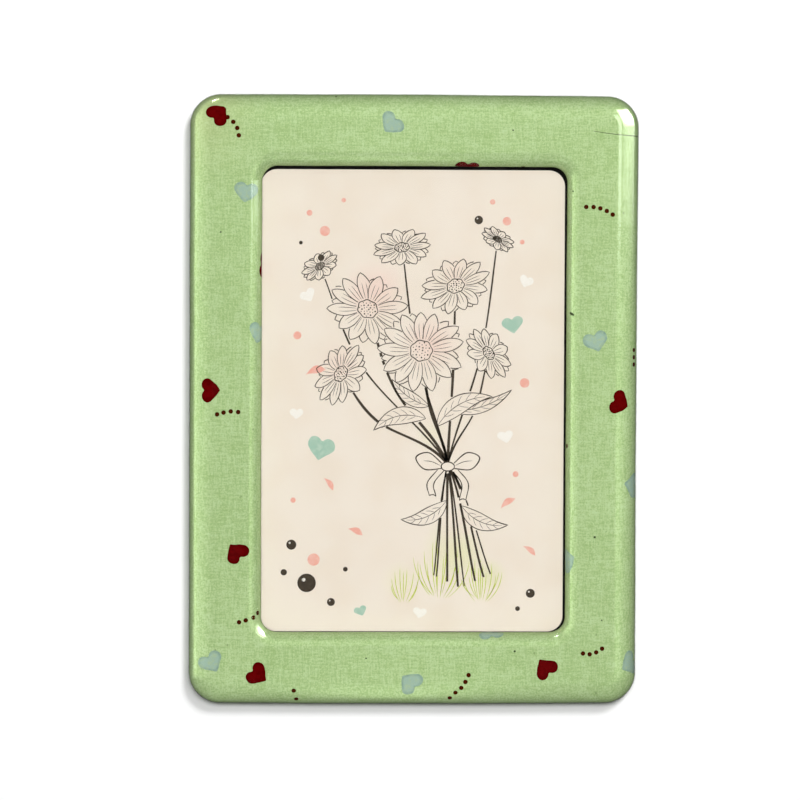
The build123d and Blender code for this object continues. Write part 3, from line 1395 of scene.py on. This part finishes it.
class Drawing:
    """A loose bunch of line-drawn daisies for the card, drawn from the front to the back."""

    def __init__(self, seed: int) -> None:
        """Start with a clean sheet.

        Args:
            seed: Seed of the hand's unevenness.
        """
        self.hand = random.Random(seed)
        self.strokes: list[Stroke] = []
        self.grass: list[Stroke] = []
        self.dots: list[Triple] = []
        self.covers: list[np.ndarray] = []

    def hidden(self, points: np.ndarray) -> np.ndarray:
        """Which points lie under something that is already drawn.

        Args:
            points: Rows of X and Y.

        Returns:
            True for each hidden point.
        """
        under = np.zeros(len(points), bool)
        low, high = points.min(0), points.max(0)
        x, y = points[:, 0][None, :], points[:, 1][None, :]
        for cover in self.covers:
            if (cover.max(0) < low).any() or (cover.min(0) > high).any():
                continue
            after = np.roll(cover, -1, 0)
            ax, ay, bx, by = (c[:, None] for c in (*cover.T, *after.T))
            between = (ay > y) != (by > y)
            crossing = (bx - ax) * (y - ay) / np.where(by == ay, 1.0, by - ay) + ax
            under |= (between & (x < crossing)).sum(0) % 2 == 1
        return under

    def ink(self, line: np.ndarray, width: float, taper: float, grass: bool = False) -> None:
        """Draw a line where nothing covers it.

        Args:
            line: Its points.
            width: Its greatest width.
            taper: Share of the width left at the ends.
            grass: Whether it goes with the pale green strokes.
        """
        share = np.linspace(0, 1, len(line))
        swell = taper + (1 - taper) * np.sin(math.pi * share) ** 0.6
        wobble = 1 + 0.12 * np.sin(share * 17 + self.hand.uniform(0, math.tau))
        widths = width * swell * wobble
        start = None
        for i, seen in enumerate([*~self.hidden(line), False]):
            if seen and start is None:
                start = i
            elif not seen and start is not None:
                if i - start > 2:
                    run = (line[start:i], widths[start:i])
                    (self.grass if grass else self.strokes).append(run)
                start = None

    @staticmethod
    def tilted(
        points: np.ndarray, centre: np.ndarray, turn: float, squash: float, lean: float
    ) -> np.ndarray:
        """Turn points round a flower's centre and foreshorten them.

        Args:
            points: Points along a petal's own axis.
            centre: Centre of the flower.
            turn: Angle of the petal, in radians.
            squash: Share of the flower's height that is seen.
            lean: Angle of the squashed flower, in radians.

        Returns:
            The points on the card.
        """
        for angle, share in ((turn, squash), (lean, 1.0)):
            c, s = math.cos(angle), math.sin(angle)
            points = points @ np.array([[c, s], [-s, c]]) * np.array([1.0, share])
        return points + centre

    def petal(self, start: float, tip: float, half: float, tilt: Place) -> None:
        """Draw one petal of a daisy.

        Args:
            start: Distance of its foot from the centre.
            tip: Distance of its tip.
            half: Half of its width.
            tilt: Turns its own points to where they lie on the card.
        """
        share = np.linspace(0, 1, 15)
        swell = half * np.sin(math.pi * (0.12 + 0.88 * share) ** 1.25) ** 0.7
        out = start + (tip - start) * share
        bend = self.hand.uniform(-0.12, 0.12) * (tip - start) * share**2
        left, right = (np.column_stack([out, bend + side * swell]) for side in (1, -1))
        outline = tilt(np.vstack([left, right[::-1][1:]]))
        self.ink(outline, 0.17, 0.6)
        for side in (-0.35, 0.3):
            vein = np.column_stack([out, bend + side * swell])[1:10]
            self.ink(tilt(vein), 0.1, 0.2)
        self.covers.append(outline)

    def daisy(self, centre: Point, radius: float, petals: int, squash: float, lean: float) -> None:
        """Draw a daisy's eye and its two rows of petals.

        Args:
            centre: Its centre.
            radius: Reach of its petals.
            petals: How many petals are in the front row.
            squash: Share of its height that is seen.
            lean: Angle of the squashed flower, in degrees.
        """
        middle, eye, seeds = np.array(centre), radius * 0.25, 26
        tilt = partial(self.tilted, centre=middle, squash=squash, lean=math.radians(lean))
        ring = np.linspace(0, math.tau, 40)
        wobble = 1 + 0.05 * np.sin(7 * ring + self.hand.uniform(0, 6))
        circle = np.column_stack([np.cos(ring), np.sin(ring)]) * (eye * wobble)[:, None]
        rim = tilt(circle, turn=0)
        open_eye = not self.hidden(middle[None, :])[0]
        self.ink(rim, 0.2, 0.8)
        for k in range(seeds if open_eye else 0):
            angle, reach = k * GOLDEN_ANGLE, eye * 0.86 * math.sqrt((k + 0.5) / seeds)
            spot = np.array([[reach * math.cos(angle), reach * math.sin(angle)]])
            self.dots.append((*tilt(spot, turn=0)[0], 0.1 + 0.05 * (k % 3 == 0)))
        self.covers.append(rim)
        for length, offset, width in ((1.0, 0.0, 0.66), (0.93, 0.5, 0.6)):
            for k in range(petals):
                turn = math.tau * (k + offset + self.hand.uniform(-0.1, 0.1)) / petals
                tip = radius * length * self.hand.uniform(0.93, 1.05)
                half = radius * math.sin(math.pi / petals) * width
                self.petal(eye * 0.9, tip, half, partial(tilt, turn=turn))

    def leaf(self, foot: Point, tip: Point, half: float, bow: float) -> None:
        """Draw a leaf with a midrib and side veins.

        Args:
            foot: Where it joins the stem.
            tip: Its point.
            half: Half of its width.
            bow: How far it bows.
        """
        middle = bowed(foot, tip, bow, 30)
        along = np.gradient(middle, axis=0)
        side = np.column_stack([-along[:, 1], along[:, 0]])
        side /= np.linalg.norm(side, axis=1)[:, None]
        side *= np.sin(math.pi * np.linspace(0, 1, 30) ** 0.8)[:, None] * half
        outline = np.vstack([middle + side, (middle - side)[::-1][1:]])
        self.ink(outline, 0.18, 0.6)
        self.ink(middle[:27], 0.13, 0.3)
        for k in range(5, 25, 4):
            for sign in (1, -1):
                end = middle[k + 4] + side[k] * sign * 0.75
                self.ink(bowed(middle[k], end, 0.06 * sign, 7), 0.09, 0.2)
        self.covers.append(outline)

    def tuft(self, foot: Point, blades: int, height: float, fan: float) -> None:
        """Draw a tuft of pale grass.

        Args:
            foot: Middle of its foot.
            blades: How many blades.
            height: Height of the tallest.
            fan: How far it fans out.
        """
        for k in range(blades):
            share = (k + 0.5) / blades * 2 - 1
            x = foot[0] + share * fan * 0.35 + self.hand.uniform(-0.3, 0.3)
            rise = height * (1 - 0.45 * abs(share)) * self.hand.uniform(0.6, 1.0)
            tip = (x + share * fan * self.hand.uniform(0.4, 1.1), foot[1] + rise)
            blade = bowed((x, foot[1] + self.hand.uniform(-0.5, 0.5)), tip, -0.12 * share, 16)
            self.ink(blade, 0.14, 0.2, grass=True)

    def bow(self, tie: Point) -> None:
        """Draw the ribbon that ties the bunch.

        Args:
            tie: Where the knot is.
        """

        def beside(side: int, count: int, *steps: Point) -> np.ndarray:
            """A smooth line through steps out from the knot on one side."""
            return curve_through([(tie[0] + side * out, tie[1] + up) for out, up in steps], count)

        ring = np.linspace(0, math.tau, 24)
        knot = np.column_stack([tie[0] + 1.25 * np.cos(ring), tie[1] + 0.85 * np.sin(ring)])
        self.ink(knot, 0.22, 0.8)
        self.covers.append(knot)
        for side in (-1, 1):
            loop = beside(side, 44, (0.9, 0.4), (3.6, 2.6), (6.0, 1.7), (4.4, -0.5), (0.9, -0.35))
            self.ink(loop, 0.24, 0.7)
            self.ink(beside(side, 14, (1.2, 0.1), (3.0, 0.9), (4.6, 1.1)), 0.13, 0.2)
            self.covers.append(loop)
        for side, reach in ((-1, 5.6), (1, 6.4)):
            tail = beside(side, 26, (0.5, -0.5), (2.6, -3.2), (2.2, -reach))
            wide = tail + np.array([side * 1.25, 0.1])
            self.ink(tail, 0.2, 0.6)
            self.ink(wide, 0.2, 0.6)
            self.ink(bowed(tail[-1], wide[-1], 0.2 * side, 8), 0.2, 0.7)
            self.covers.append(np.vstack([tail, wide[::-1]]))


@dataclass(frozen=True)
class CardPicture:
    """The picture on the card: daisies in a loose bunch, with grass, dots and small hearts.

    Places are millimetres on the card. A flower is its centre, reach, petals, the share of its
    height that is seen and its lean, and a leaf or loose petal its foot, tip and half width.
    """

    surface: InkedSurface
    washes: tuple[tuple[Point, float, float, str], ...] = (
        ((-7.0, 20.0), 7.5, 0.5, "#F4CFC6"), ((3.5, 10.5), 6.5, 0.5, "#F4CFC6"),
        ((-14.0, 7.0), 5.5, 0.38, "#F2D5C9"), ((8.0, 24.0), 4.5, 0.32, "#F2D5C9"),
        ((8.0, -29.0), 7.0, 0.45, "#DDE79C"), ((14.5, -33.0), 4.0, 0.4, "#D3E38A"),
        ((-2.0, -34.0), 4.5, 0.3, "#E6ECB4"), ((3.5, -6.5), 4.0, 0.28, "#DDE6B0"),
    )
    coral: tuple[Triple, ...] = (
        (-19.6, 35.0, 0.55), (-16.7, 31.6, 0.95), (-13.2, 37.4, 0.42), (17.5, 33.6, 0.8),
        (20.4, 29.7, 0.45), (14.8, 37.2, 0.5), (-21.8, 12.0, 0.75), (21.0, 3.2, 0.9),
        (-18.6, -30.2, 1.15), (-22.5, -19.0, 0.5), (19.4, -14.0, 0.55),
    )
    dark: tuple[Triple, ...] = (
        (12.2, 33.8, 0.8), (15.2, 30.4, 0.4), (-17.4, 26.6, 0.62), (-21.2, 29.4, 0.35),
        (-22.8, -27.4, 0.95), (-19.9, -34.6, 1.75), (-15.3, -38.2, 0.75), (-24.2, -32.6, 0.6),
        (22.3, -36.5, 0.85), (19.9, -39.4, 0.45), (-12.6, -32.0, 0.45),
    )
    mint_hearts: tuple[tuple[Point, float, float], ...] = (
        ((18.6, 14.6), -80, 1.0), ((-17.2, -8.6), -102, 1.35), ((-9.8, -39.6), -70, 0.6),
    )
    white_hearts: tuple[tuple[Point, float, float], ...] = (
        ((-20.0, 19.8), -60, 0.75), ((21.3, 22.6), -110, 0.7), ((17.4, -6.6), -80, 0.75),
        ((-21.9, -2.4), -95, 0.65), ((1.5, -39.9), -100, 0.65),
    )
    pink_petals: tuple[tuple[Point, Point, float], ...] = (
        ((-20.2, 4.6), (-16.4, 5.6), 0.75), ((16.6, -20.6), (19.4, -18.6), 0.6),
        ((-12.2, -24.4), (-9.4, -25.6), 0.6), ((20.8, -27.6), (23.2, -29.4), 0.5),
        ((-16.8, -14.8), (-15.0, -17.2), 0.5),
    )
    flowers: tuple[tuple[Point, float, int, float, float], ...] = (
        ((1.5, 9.2), 8.2, 13, 0.94, 10), ((-8.6, 17.0), 7.6, 12, 0.86, -25),
        ((7.9, 21.4), 6.6, 12, 0.78, 20), ((-13.6, 4.8), 6.2, 11, 0.72, 60),
        ((-2.2, 28.6), 5.6, 11, 0.62, 5), ((14.2, 8.8), 5.4, 10, 0.66, -55),
        ((-17.6, 25.0), 3.9, 9, 0.6, 35), ((15.8, 30.2), 3.4, 9, 0.55, -30),
    )
    leaves: tuple[tuple[Point, Point, float, float], ...] = (
        ((4.6, -5.0), (14.9, 0.6), 1.7, 0.14), ((2.4, -3.6), (-7.4, -5.8), 1.6, -0.16),
        ((9.2, -20.0), (18.0, -23.6), 1.5, -0.15), ((6.4, -19.0), (-2.2, -22.6), 1.5, 0.15),
        ((3.0, -1.2), (-4.0, 3.8), 1.2, 0.1), ((7.2, -2.0), (18.6, 1.9), 1.1, -0.1),
    )
    tufts: tuple[tuple[Point, int, float, float], ...] = (
        ((5.0, -37.0), 15, 12.5, 4.6), ((13.0, -37.6), 13, 9.5, 3.9), ((-1.5, -37.8), 9, 7.5, 3.0),
    )
    tie: Point = (6.6, -12.6)
    seed: int = 11

    def draw(self) -> Drawing:
        """Draw the bunch.

        Returns:
            The finished drawing.
        """
        sheet, tie = Drawing(self.seed), self.tie
        for flower in self.flowers:
            sheet.daisy(*flower)
        for leaf in self.leaves:
            sheet.leaf(*leaf)
        sheet.bow(tie)
        for (x, y), radius, *_ in self.flowers:
            lean = (x - tie[0]) * 0.12
            foot = (tie[0] + 2.2 - (x - 1) * 0.32, -35.5 + abs(x) * 0.15)
            bend = (x * 0.55 + tie[0] * 0.45 + lean, (y + tie[1]) / 2)
            stem = curve_through([(x, y), bend, (tie[0] - lean * 0.12, tie[1]), foot], 120)
            sheet.ink(stem, 0.5 if radius > 6 else 0.34, 0.7)
        for tuft in self.tufts:
            sheet.tuft(*tuft)
        return sheet

    def loose_petals(self) -> list[np.ndarray]:
        """Outlines of the loose petals.

        Returns:
            For each one its centre and then its outline.
        """
        shapes = []
        for foot, tip, half in self.pink_petals:
            middle = bowed(foot, tip, 0.12, 16)
            side = np.array([-(tip[1] - foot[1]), tip[0] - foot[0]])
            side = side / np.hypot(*side) * half
            swell = np.sin(math.pi * np.linspace(0, 1, 16) ** 1.3)[:, None] * side
            shapes.append(np.vstack([middle[8], middle + swell, (middle - swell)[::-1][1:-1]]))
        return shapes

    def build(self, inks: dict[str, Material]) -> None:
        """Lay the whole picture on the card.

        Args:
            inks: Finishes by colour name.
        """
        sheet, surface = self.draw(), self.surface
        surface.lay_strokes("card_pen_lines", sheet.strokes, inks["pen"], 0.002)
        surface.lay_strokes("card_grass_lines", sheet.grass, inks["lime"])
        surface.lay_dots("card_pen_dots", (*sheet.dots, *self.dark), inks["pen"])
        surface.lay_dots("card_coral_dots", self.coral, inks["coral"])
        glints = [(x - r * 0.32, y + r * 0.34, r * 0.2) for x, y, r in self.dark if r > 0.7]
        surface.lay_dots("card_dot_glints", glints, inks["white"], 0.006)
        for colour, hearts in (("mint", self.mint_hearts), ("white", self.white_hearts)):
            shapes = [
                heart_outline(middle, turn, size, 0.15 * size, seed)
                for seed, (middle, turn, size) in enumerate(hearts, 50)
            ]
            surface.lay_patches(f"card_{colour}_hearts", shapes, inks[colour])
        surface.lay_patches("card_pink_petals", self.loose_petals(), inks["coral"])


@dataclass(frozen=True)
class Backing:
    """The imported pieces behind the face: ring, magnet sheet and foam strips."""

    styrene: DarkPolymer = DarkPolymer(
        "moulded black styrene", "#141414", "#26262A", 0.42, 0.18, 0.006, 3.0
    )
    rubber: DarkPolymer = DarkPolymer(
        "calendered magnet rubber", "#070605", "#141210", 0.7, (0.25, 0.25, 5.0), 0.012, 2.5
    )
    foam: DarkPolymer = DarkPolymer(
        "closed cell foam tape", "#1C1C1D", "#303032", 0.85, 0.16, 0.03, 1.0
    )

    def build(self) -> None:
        """Dress each piece as what it is made of."""
        strips = [f"spacer_strip_{side}" for side in ("left", "right", "bottom")]
        for polymer, nodes in (
            (self.styrene, ["backing_ring"]), (self.rubber, ["magnet_sheet"]), (self.foam, strips)
        ):
            finish = polymer.build()
            for node in nodes:
                dress_node(node, finish)


# Studio


class Lit(Enum):
    """What a lamp or softbox is meant for, so that each can be set for itself."""

    WALL = "wall and floor"
    BORDER = "border and back"
    INSERT = "card and pane"
    PRINT = "paper and its print"
    FRAME = "whole frame"


def direction(turn: float, rise: float) -> Vector:
    """The way to a place round the frame, turned to the right and raised, in radians."""
    return Vector(
        (math.sin(turn) * math.cos(rise), -math.cos(turn) * math.cos(rise), math.sin(rise))
    )


@dataclass(frozen=True)
class Lamp:
    """A soft lamp that lights and casts shadows but isn't mirrored.

    Its share is the part of full white that it gives a white card facing the camera. It is round,
    or an oval where it has a height. A lamp behind the wall shines past it, and only the frame
    itself shades it.
    """

    name: str
    place: Triple
    size: float
    share: float
    lights: Lit
    height: float = 0.0

    def build(self, groups: dict[Lit, bpy.types.Collection]) -> None:
        """Add the lamp.

        Args:
            groups: The pieces that each kind of light falls on.
        """
        place = Vector(self.place)
        data = bpy.data.lights.new(self.name, "AREA")
        data.shape = "ELLIPSE" if self.height else "DISK"
        data.size = self.size
        if self.height:
            data.size_y = self.height
        facing = abs(place.normalized().y)
        data.energy = self.share * math.pi**2 * place.length_squared / facing
        lamp = put_in_scene(self.name, data)
        lamp.location = place
        lamp.rotation_euler = (-place).to_track_quat("-Z", "Y").to_euler()
        lamp.visible_glossy = False
        lamp.light_linking.receiver_collection = groups[self.lights]
        if place.y > 0:
            lamp.light_linking.blocker_collection = groups[Lit.FRAME]


@dataclass(frozen=True)
class Softbox:
    """A softbox that only glossy faces mirror, as a piece of a sphere round the frame.

    Its stops are degrees to the right of straight ahead with the glow there, and degrees of
    elevation with the share of that glow.
    """

    name: str
    across: tuple[Point, ...]
    upward: tuple[Point, ...]
    lights: Lit
    distance: float = 1.2
    step: float = 1.5

    def build(self, finish: Material, groups: dict[Lit, bpy.types.Collection]) -> None:
        """Add the softbox.

        Args:
            finish: Material that glows as the mesh says.
            groups: The pieces that each kind of light falls on.
        """
        turns, glows = np.array(self.across, float).T
        rises, shares = np.array(self.upward, float).T
        columns, rows = (
            np.linspace(stops[0], stops[-1], int(np.ptp(stops) / self.step) + 2)
            for stops in (turns, rises)
        )
        points = [
            direction(a, e) * self.distance for e in np.radians(rows) for a in np.radians(columns)
        ]
        wide = len(columns)
        feet = [i * wide + j for i in range(len(rows) - 1) for j in range(wide - 1)]
        mesh = bpy.data.meshes.new(self.name)
        mesh.from_pydata(points, [], [(k, k + 1, k + wide + 1, k + wide) for k in feet])
        glow = np.outer(np.interp(rows, rises, shares), np.interp(columns, turns, glows))
        set_attribute(mesh, "glow", glow.ravel())
        mesh.materials.append(finish)
        box = put_in_scene(self.name, mesh)
        box.visible_camera = box.visible_diffuse = box.visible_shadow = False
        box.visible_transmission = False
        box.light_linking.receiver_collection = groups[self.lights]
        box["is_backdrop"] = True


SHEEN_RISE = ((-20, 0.8), (-10, 1), (20, 1), (60, 0.4))
SHEEN_WIDTH = ((-10, 1), (10, 1))


@dataclass(frozen=True)
class Studio:
    """Pale wall and floor, soft lamps and the camera."""

    target: Triple = (-0.00251, -0.0026, -0.00004)
    distance: float = 0.75
    lens: float = 179.8
    sensor: float = 36.0
    azimuth: float = -2.06
    elevation: float = 2.085
    roll: float = 0.26
    wall_gap: float = 0.00005
    wall_half: float = 0.9
    floor_level: float = -0.22
    floor_front: float = -1.3
    world_front: float = 0.1
    world_behind: float = 0.9
    shine_front: float = 0.03
    shine_side: float = 0.12
    lamps: tuple[Lamp, ...] = (
        Lamp("wall_key_upper_right", (0.56, -1.6, 1.0), 0.5, 0.46, Lit.WALL),
        Lamp("wall_fill_front", (0.03, -1.6, 0.34), 1.1, 0.62, Lit.WALL, 0.46),
        Lamp("border_front", (-0.06, -1.8, 0.14), 0.6, 1.04, Lit.BORDER),
        Lamp("insert_front", (0.03, -1.8, 0.06), 0.5, 1.0, Lit.INSERT),
        Lamp("frame_back", (-0.1, 1.6, 0.2), 0.8, 0.6, Lit.FRAME),
    )
    boxes: tuple[Softbox, ...] = (
        Softbox(
            "sheen_left",
            ((-90, 9.0), (-82, 6.5), (-74, 4.4), (-66, 3.6), (-57, 2.9), (-32, 1.7), (-24, 1.5),
             (-10, 0)),
            SHEEN_RISE, Lit.PRINT, 0.6, 4.0,
        ),
        Softbox(
            "sheen_right",
            ((9, 0), (14, 1.0), (18, 2.4), (23, 3.6), (30, 2.5), (40, 1.6), (54, 1.0), (75, 0.4),
             (90, 0.1)),
            SHEEN_RISE, Lit.PRINT, 0.6, 3.0,
        ),
        Softbox(
            "sheen_top", SHEEN_WIDTH, ((6, 0), (10, 1.5), (20, 1.9), (60, 1), (89, 0.8)),
            Lit.PRINT, 0.6, 4.0,
        ),
        Softbox(
            "sheen_bottom", SHEEN_WIDTH,
            ((-88, 5.0), (-62, 3.6), (-35, 1.6), (-20, 0.9), (-10, 0)), Lit.PRINT, 0.19, 4.0,
        ),
        Softbox(
            "strip_right", ((19, 0), (23, 5.5), (30, 5.5), (36, 0)),
            ((3.5, 0), (8, 0.8), (14, 1), (28, 1), (34, 0)), Lit.FRAME, 0.3,
        ),
        Softbox(
            "softbox_right", ((33, 0), (40, 13), (52, 19), (96, 22), (104, 0)),
            ((5, 0), (8, 0.14), (12, 0.2), (20, 0.8), (26, 1), (43, 1), (49, 0)), Lit.FRAME, 0.3,
        ),
        Softbox("softbox_overhead", ((-98, 18), (-55, 18)), ((67, 1), (82, 1)), Lit.FRAME),
        Softbox("softbox_left", ((-108, 20), (-91, 20)), ((24, 1), (33, 1)), Lit.FRAME),
        Softbox("spot_left", ((-66, 16), (-58, 16)), ((18, 1), (24, 1)), Lit.FRAME),
        Softbox("spot_upper_left", ((-18, 30), (-12, 30)), ((41, 1), (46, 1)), Lit.FRAME),
        Softbox("spot_upper_right", ((8, 26), (15, 26)), ((49, 1), (54, 1)), Lit.FRAME),
    )

    def build(self) -> None:
        """Make the whole studio but for its lights."""
        self.camera()
        self.surroundings()
        self.stage()
        bpy.context.scene.view_settings.view_transform = "Standard"

    def camera(self) -> None:
        """Look at the face from a little above, as the photograph does."""
        data = bpy.data.cameras.new("camera")
        data.lens, data.sensor_width, data.clip_start = self.lens, self.sensor, 0.01
        camera = put_in_scene("camera", data)
        back = direction(math.radians(self.azimuth), math.radians(self.elevation))
        camera.location = Vector(self.target) + back * self.distance
        aim = (-back).to_track_quat("-Z", "Y").to_matrix()
        rolled = aim @ Matrix.Rotation(math.radians(self.roll), 3, "Z")
        camera.rotation_euler = rolled.to_euler()
        bpy.context.scene.camera = camera

    def surroundings(self) -> None:
        """White to the camera, a plain level to the object, and a dark gap by the camera."""
        world = bpy.data.worlds.new("studio")
        bpy.context.scene.world = world
        world.use_nodes = True
        world.node_tree.nodes.clear()
        node = partial(add_node, world.node_tree)
        depth = node("SeparateXYZ", node("TexCoord").outputs["Generated"]).outputs["Y"]
        rays = node("LightPath").outputs
        behind = node("MapRange", depth, -0.1, 0.25, 0, 1, **SMOOTH)
        soft = node("MapRange", behind, 0, 1, self.world_front, self.world_behind)
        front = node("MapRange", depth, -0.97, -0.55, self.shine_front, self.shine_side, **SMOOTH)
        shine = node("Math", front, behind, operation="MAXIMUM")
        unseen = node("Mix", rays["Is Glossy Ray"], soft, shine)
        clear = node("Math", rays["Is Camera Ray"], rays["Is Transmission Ray"],
                     operation="MAXIMUM")
        level = node("Mix", clear, unseen, 1.0)
        node("OutputWorld", Surface=node("Background", Color=linear(WHITE), Strength=level))

    def stage(self) -> None:
        """Make the wall just behind the magnet and the floor under it."""
        half, low, gap, front = self.wall_half, self.floor_level, self.wall_gap, self.floor_front
        for name, one_sided, corners in (
            ("wall", True,
             [(-half, gap, low), (half, gap, low), (half, gap, half), (-half, gap, half)]),
            ("floor", False,
             [(-half, front, low), (half, front, low), (half, half, low), (-half, half, low)]),
        ):
            mesh = bpy.data.meshes.new(name)
            mesh.from_pydata(corners, [], [(0, 1, 2, 3)])
            mesh.materials.append(PalePaint(f"painted {name}", one_sided).build())
            put_in_scene(name, mesh)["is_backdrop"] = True

    def light(self) -> None:
        """Add the lamps and softboxes, once every piece is there to be lit."""
        pieces = list(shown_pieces())
        insert = [p for p in pieces if p.name.startswith(("card_", "photo_card", "window_pane"))]
        members = {
            Lit.WALL: [bpy.data.objects["wall"], bpy.data.objects["floor"]],
            Lit.INSERT: insert,
            Lit.BORDER: [p for p in pieces if p not in insert],
            Lit.PRINT: [p for p in pieces if p.name.startswith(("border_paper", "print_"))],
            Lit.FRAME: pieces,
        }
        groups = {}
        for lit, objects in members.items():
            groups[lit] = bpy.data.collections.new(lit.value)
            for member in objects:
                groups[lit].objects.link(member)
            LOG.info("%s: %d pieces to light", lit.value, len(objects))
        for lamp in self.lamps:
            lamp.build(groups)
        cloth = SoftboxCloth().build()
        for box in self.boxes:
            box.build(cloth, groups)


def main() -> None:
    """Build the studio and every piece."""
    logging.basicConfig(level=logging.INFO, format="%(message)s")
    studio = Studio()
    studio.build()
    form = BorderForm()
    # The film's gloss is held back in this outline's throat, as painted shade on the inner wall.
    throat = Outline(form.window_width / 2, form.window_height / 2, form.window_corner)
    film = ClearSheet("wrapped polyester film", 1.5, 0.05, 1.6, 0.003, throat).build()
    pane = ClearSheet(
        "rigid clear window sheet", 1.45, 0.03, 6.0, 0.002, tone="#FCFBFA",
        cut_rim=Outline(half_width=30.55, half_height=48.75, corner=1.0, middle=3.95),
    ).build()
    BorderSkins(form).build(RolledTinplate().build(), LinenPrintedPaper().build(), film)
    red, brown, blue, dark = (
        PrintedInk(*ink).build() for ink in (
            ("dark red offset ink", "#620406", "#480002", 0.8, 0.6, "#3C0000", 0.6, 0.1, 0.3),
            ("brown red offset ink", "#441603", "#361002", 0.8, 0.6, None, 0.0, 0.1, 0.3),
            ("pale blue offset ink", "#9BB5A3", "#A4BA96", 0.9, 0.8, "#748F80", 0.75, 0.12, 0.3),
            # Specks and fleck, and the painted shade of the crease.
            ("dark fibre and crease shade", "#3E4A2C", "#2E3820", 0.5, 0.5),
        )
    )
    recipes = InkRecipes(DotRecipe(), StrokeRecipe())
    wrap = PaperWrap(form)
    paper_face = InkedSurface(
        recipes, wrap.place, Body.FRAME, Slot.PRINTED_PAPER, foot=-0.004, ink_film=0.015
    )
    BorderPrint(paper_face).build(red, brown, blue, dark)
    card_face = InkedSurface(
        recipes, on_card, Body.CARD, Slot.PRINTED_CARD, foot=-0.002, ink_film=0.014
    )
    picture = CardPicture(card_face)
    picture.build({
        "pen": PrintedInk("dark pen ink", "#463F36", "#5A5247", 0.5, 0.5).build(),
        "lime": PrintedInk("lime pencil", "#BFD23F", "#D3DE7C", 0.4, 0.6).build(),
        "coral": PrintedInk("coral wash", "#F2B5A6", "#F6CFC2", 0.9, 0.8).build(),
        "mint": PrintedInk("mint wash", "#A9CDBB", "#C3DBCB", 0.9, 0.7).build(),
        "white": PrintedInk("white gouache", "#FBFAF4", "#F4F1E8", 0.6, 0.5).build(),
    })
    dress_node("photo_card", CardStock(washes=picture.washes).build())
    dress_node("window_pane", pane)
    Backing().build()
    studio.light()


if __name__ == "__main__":
    main()
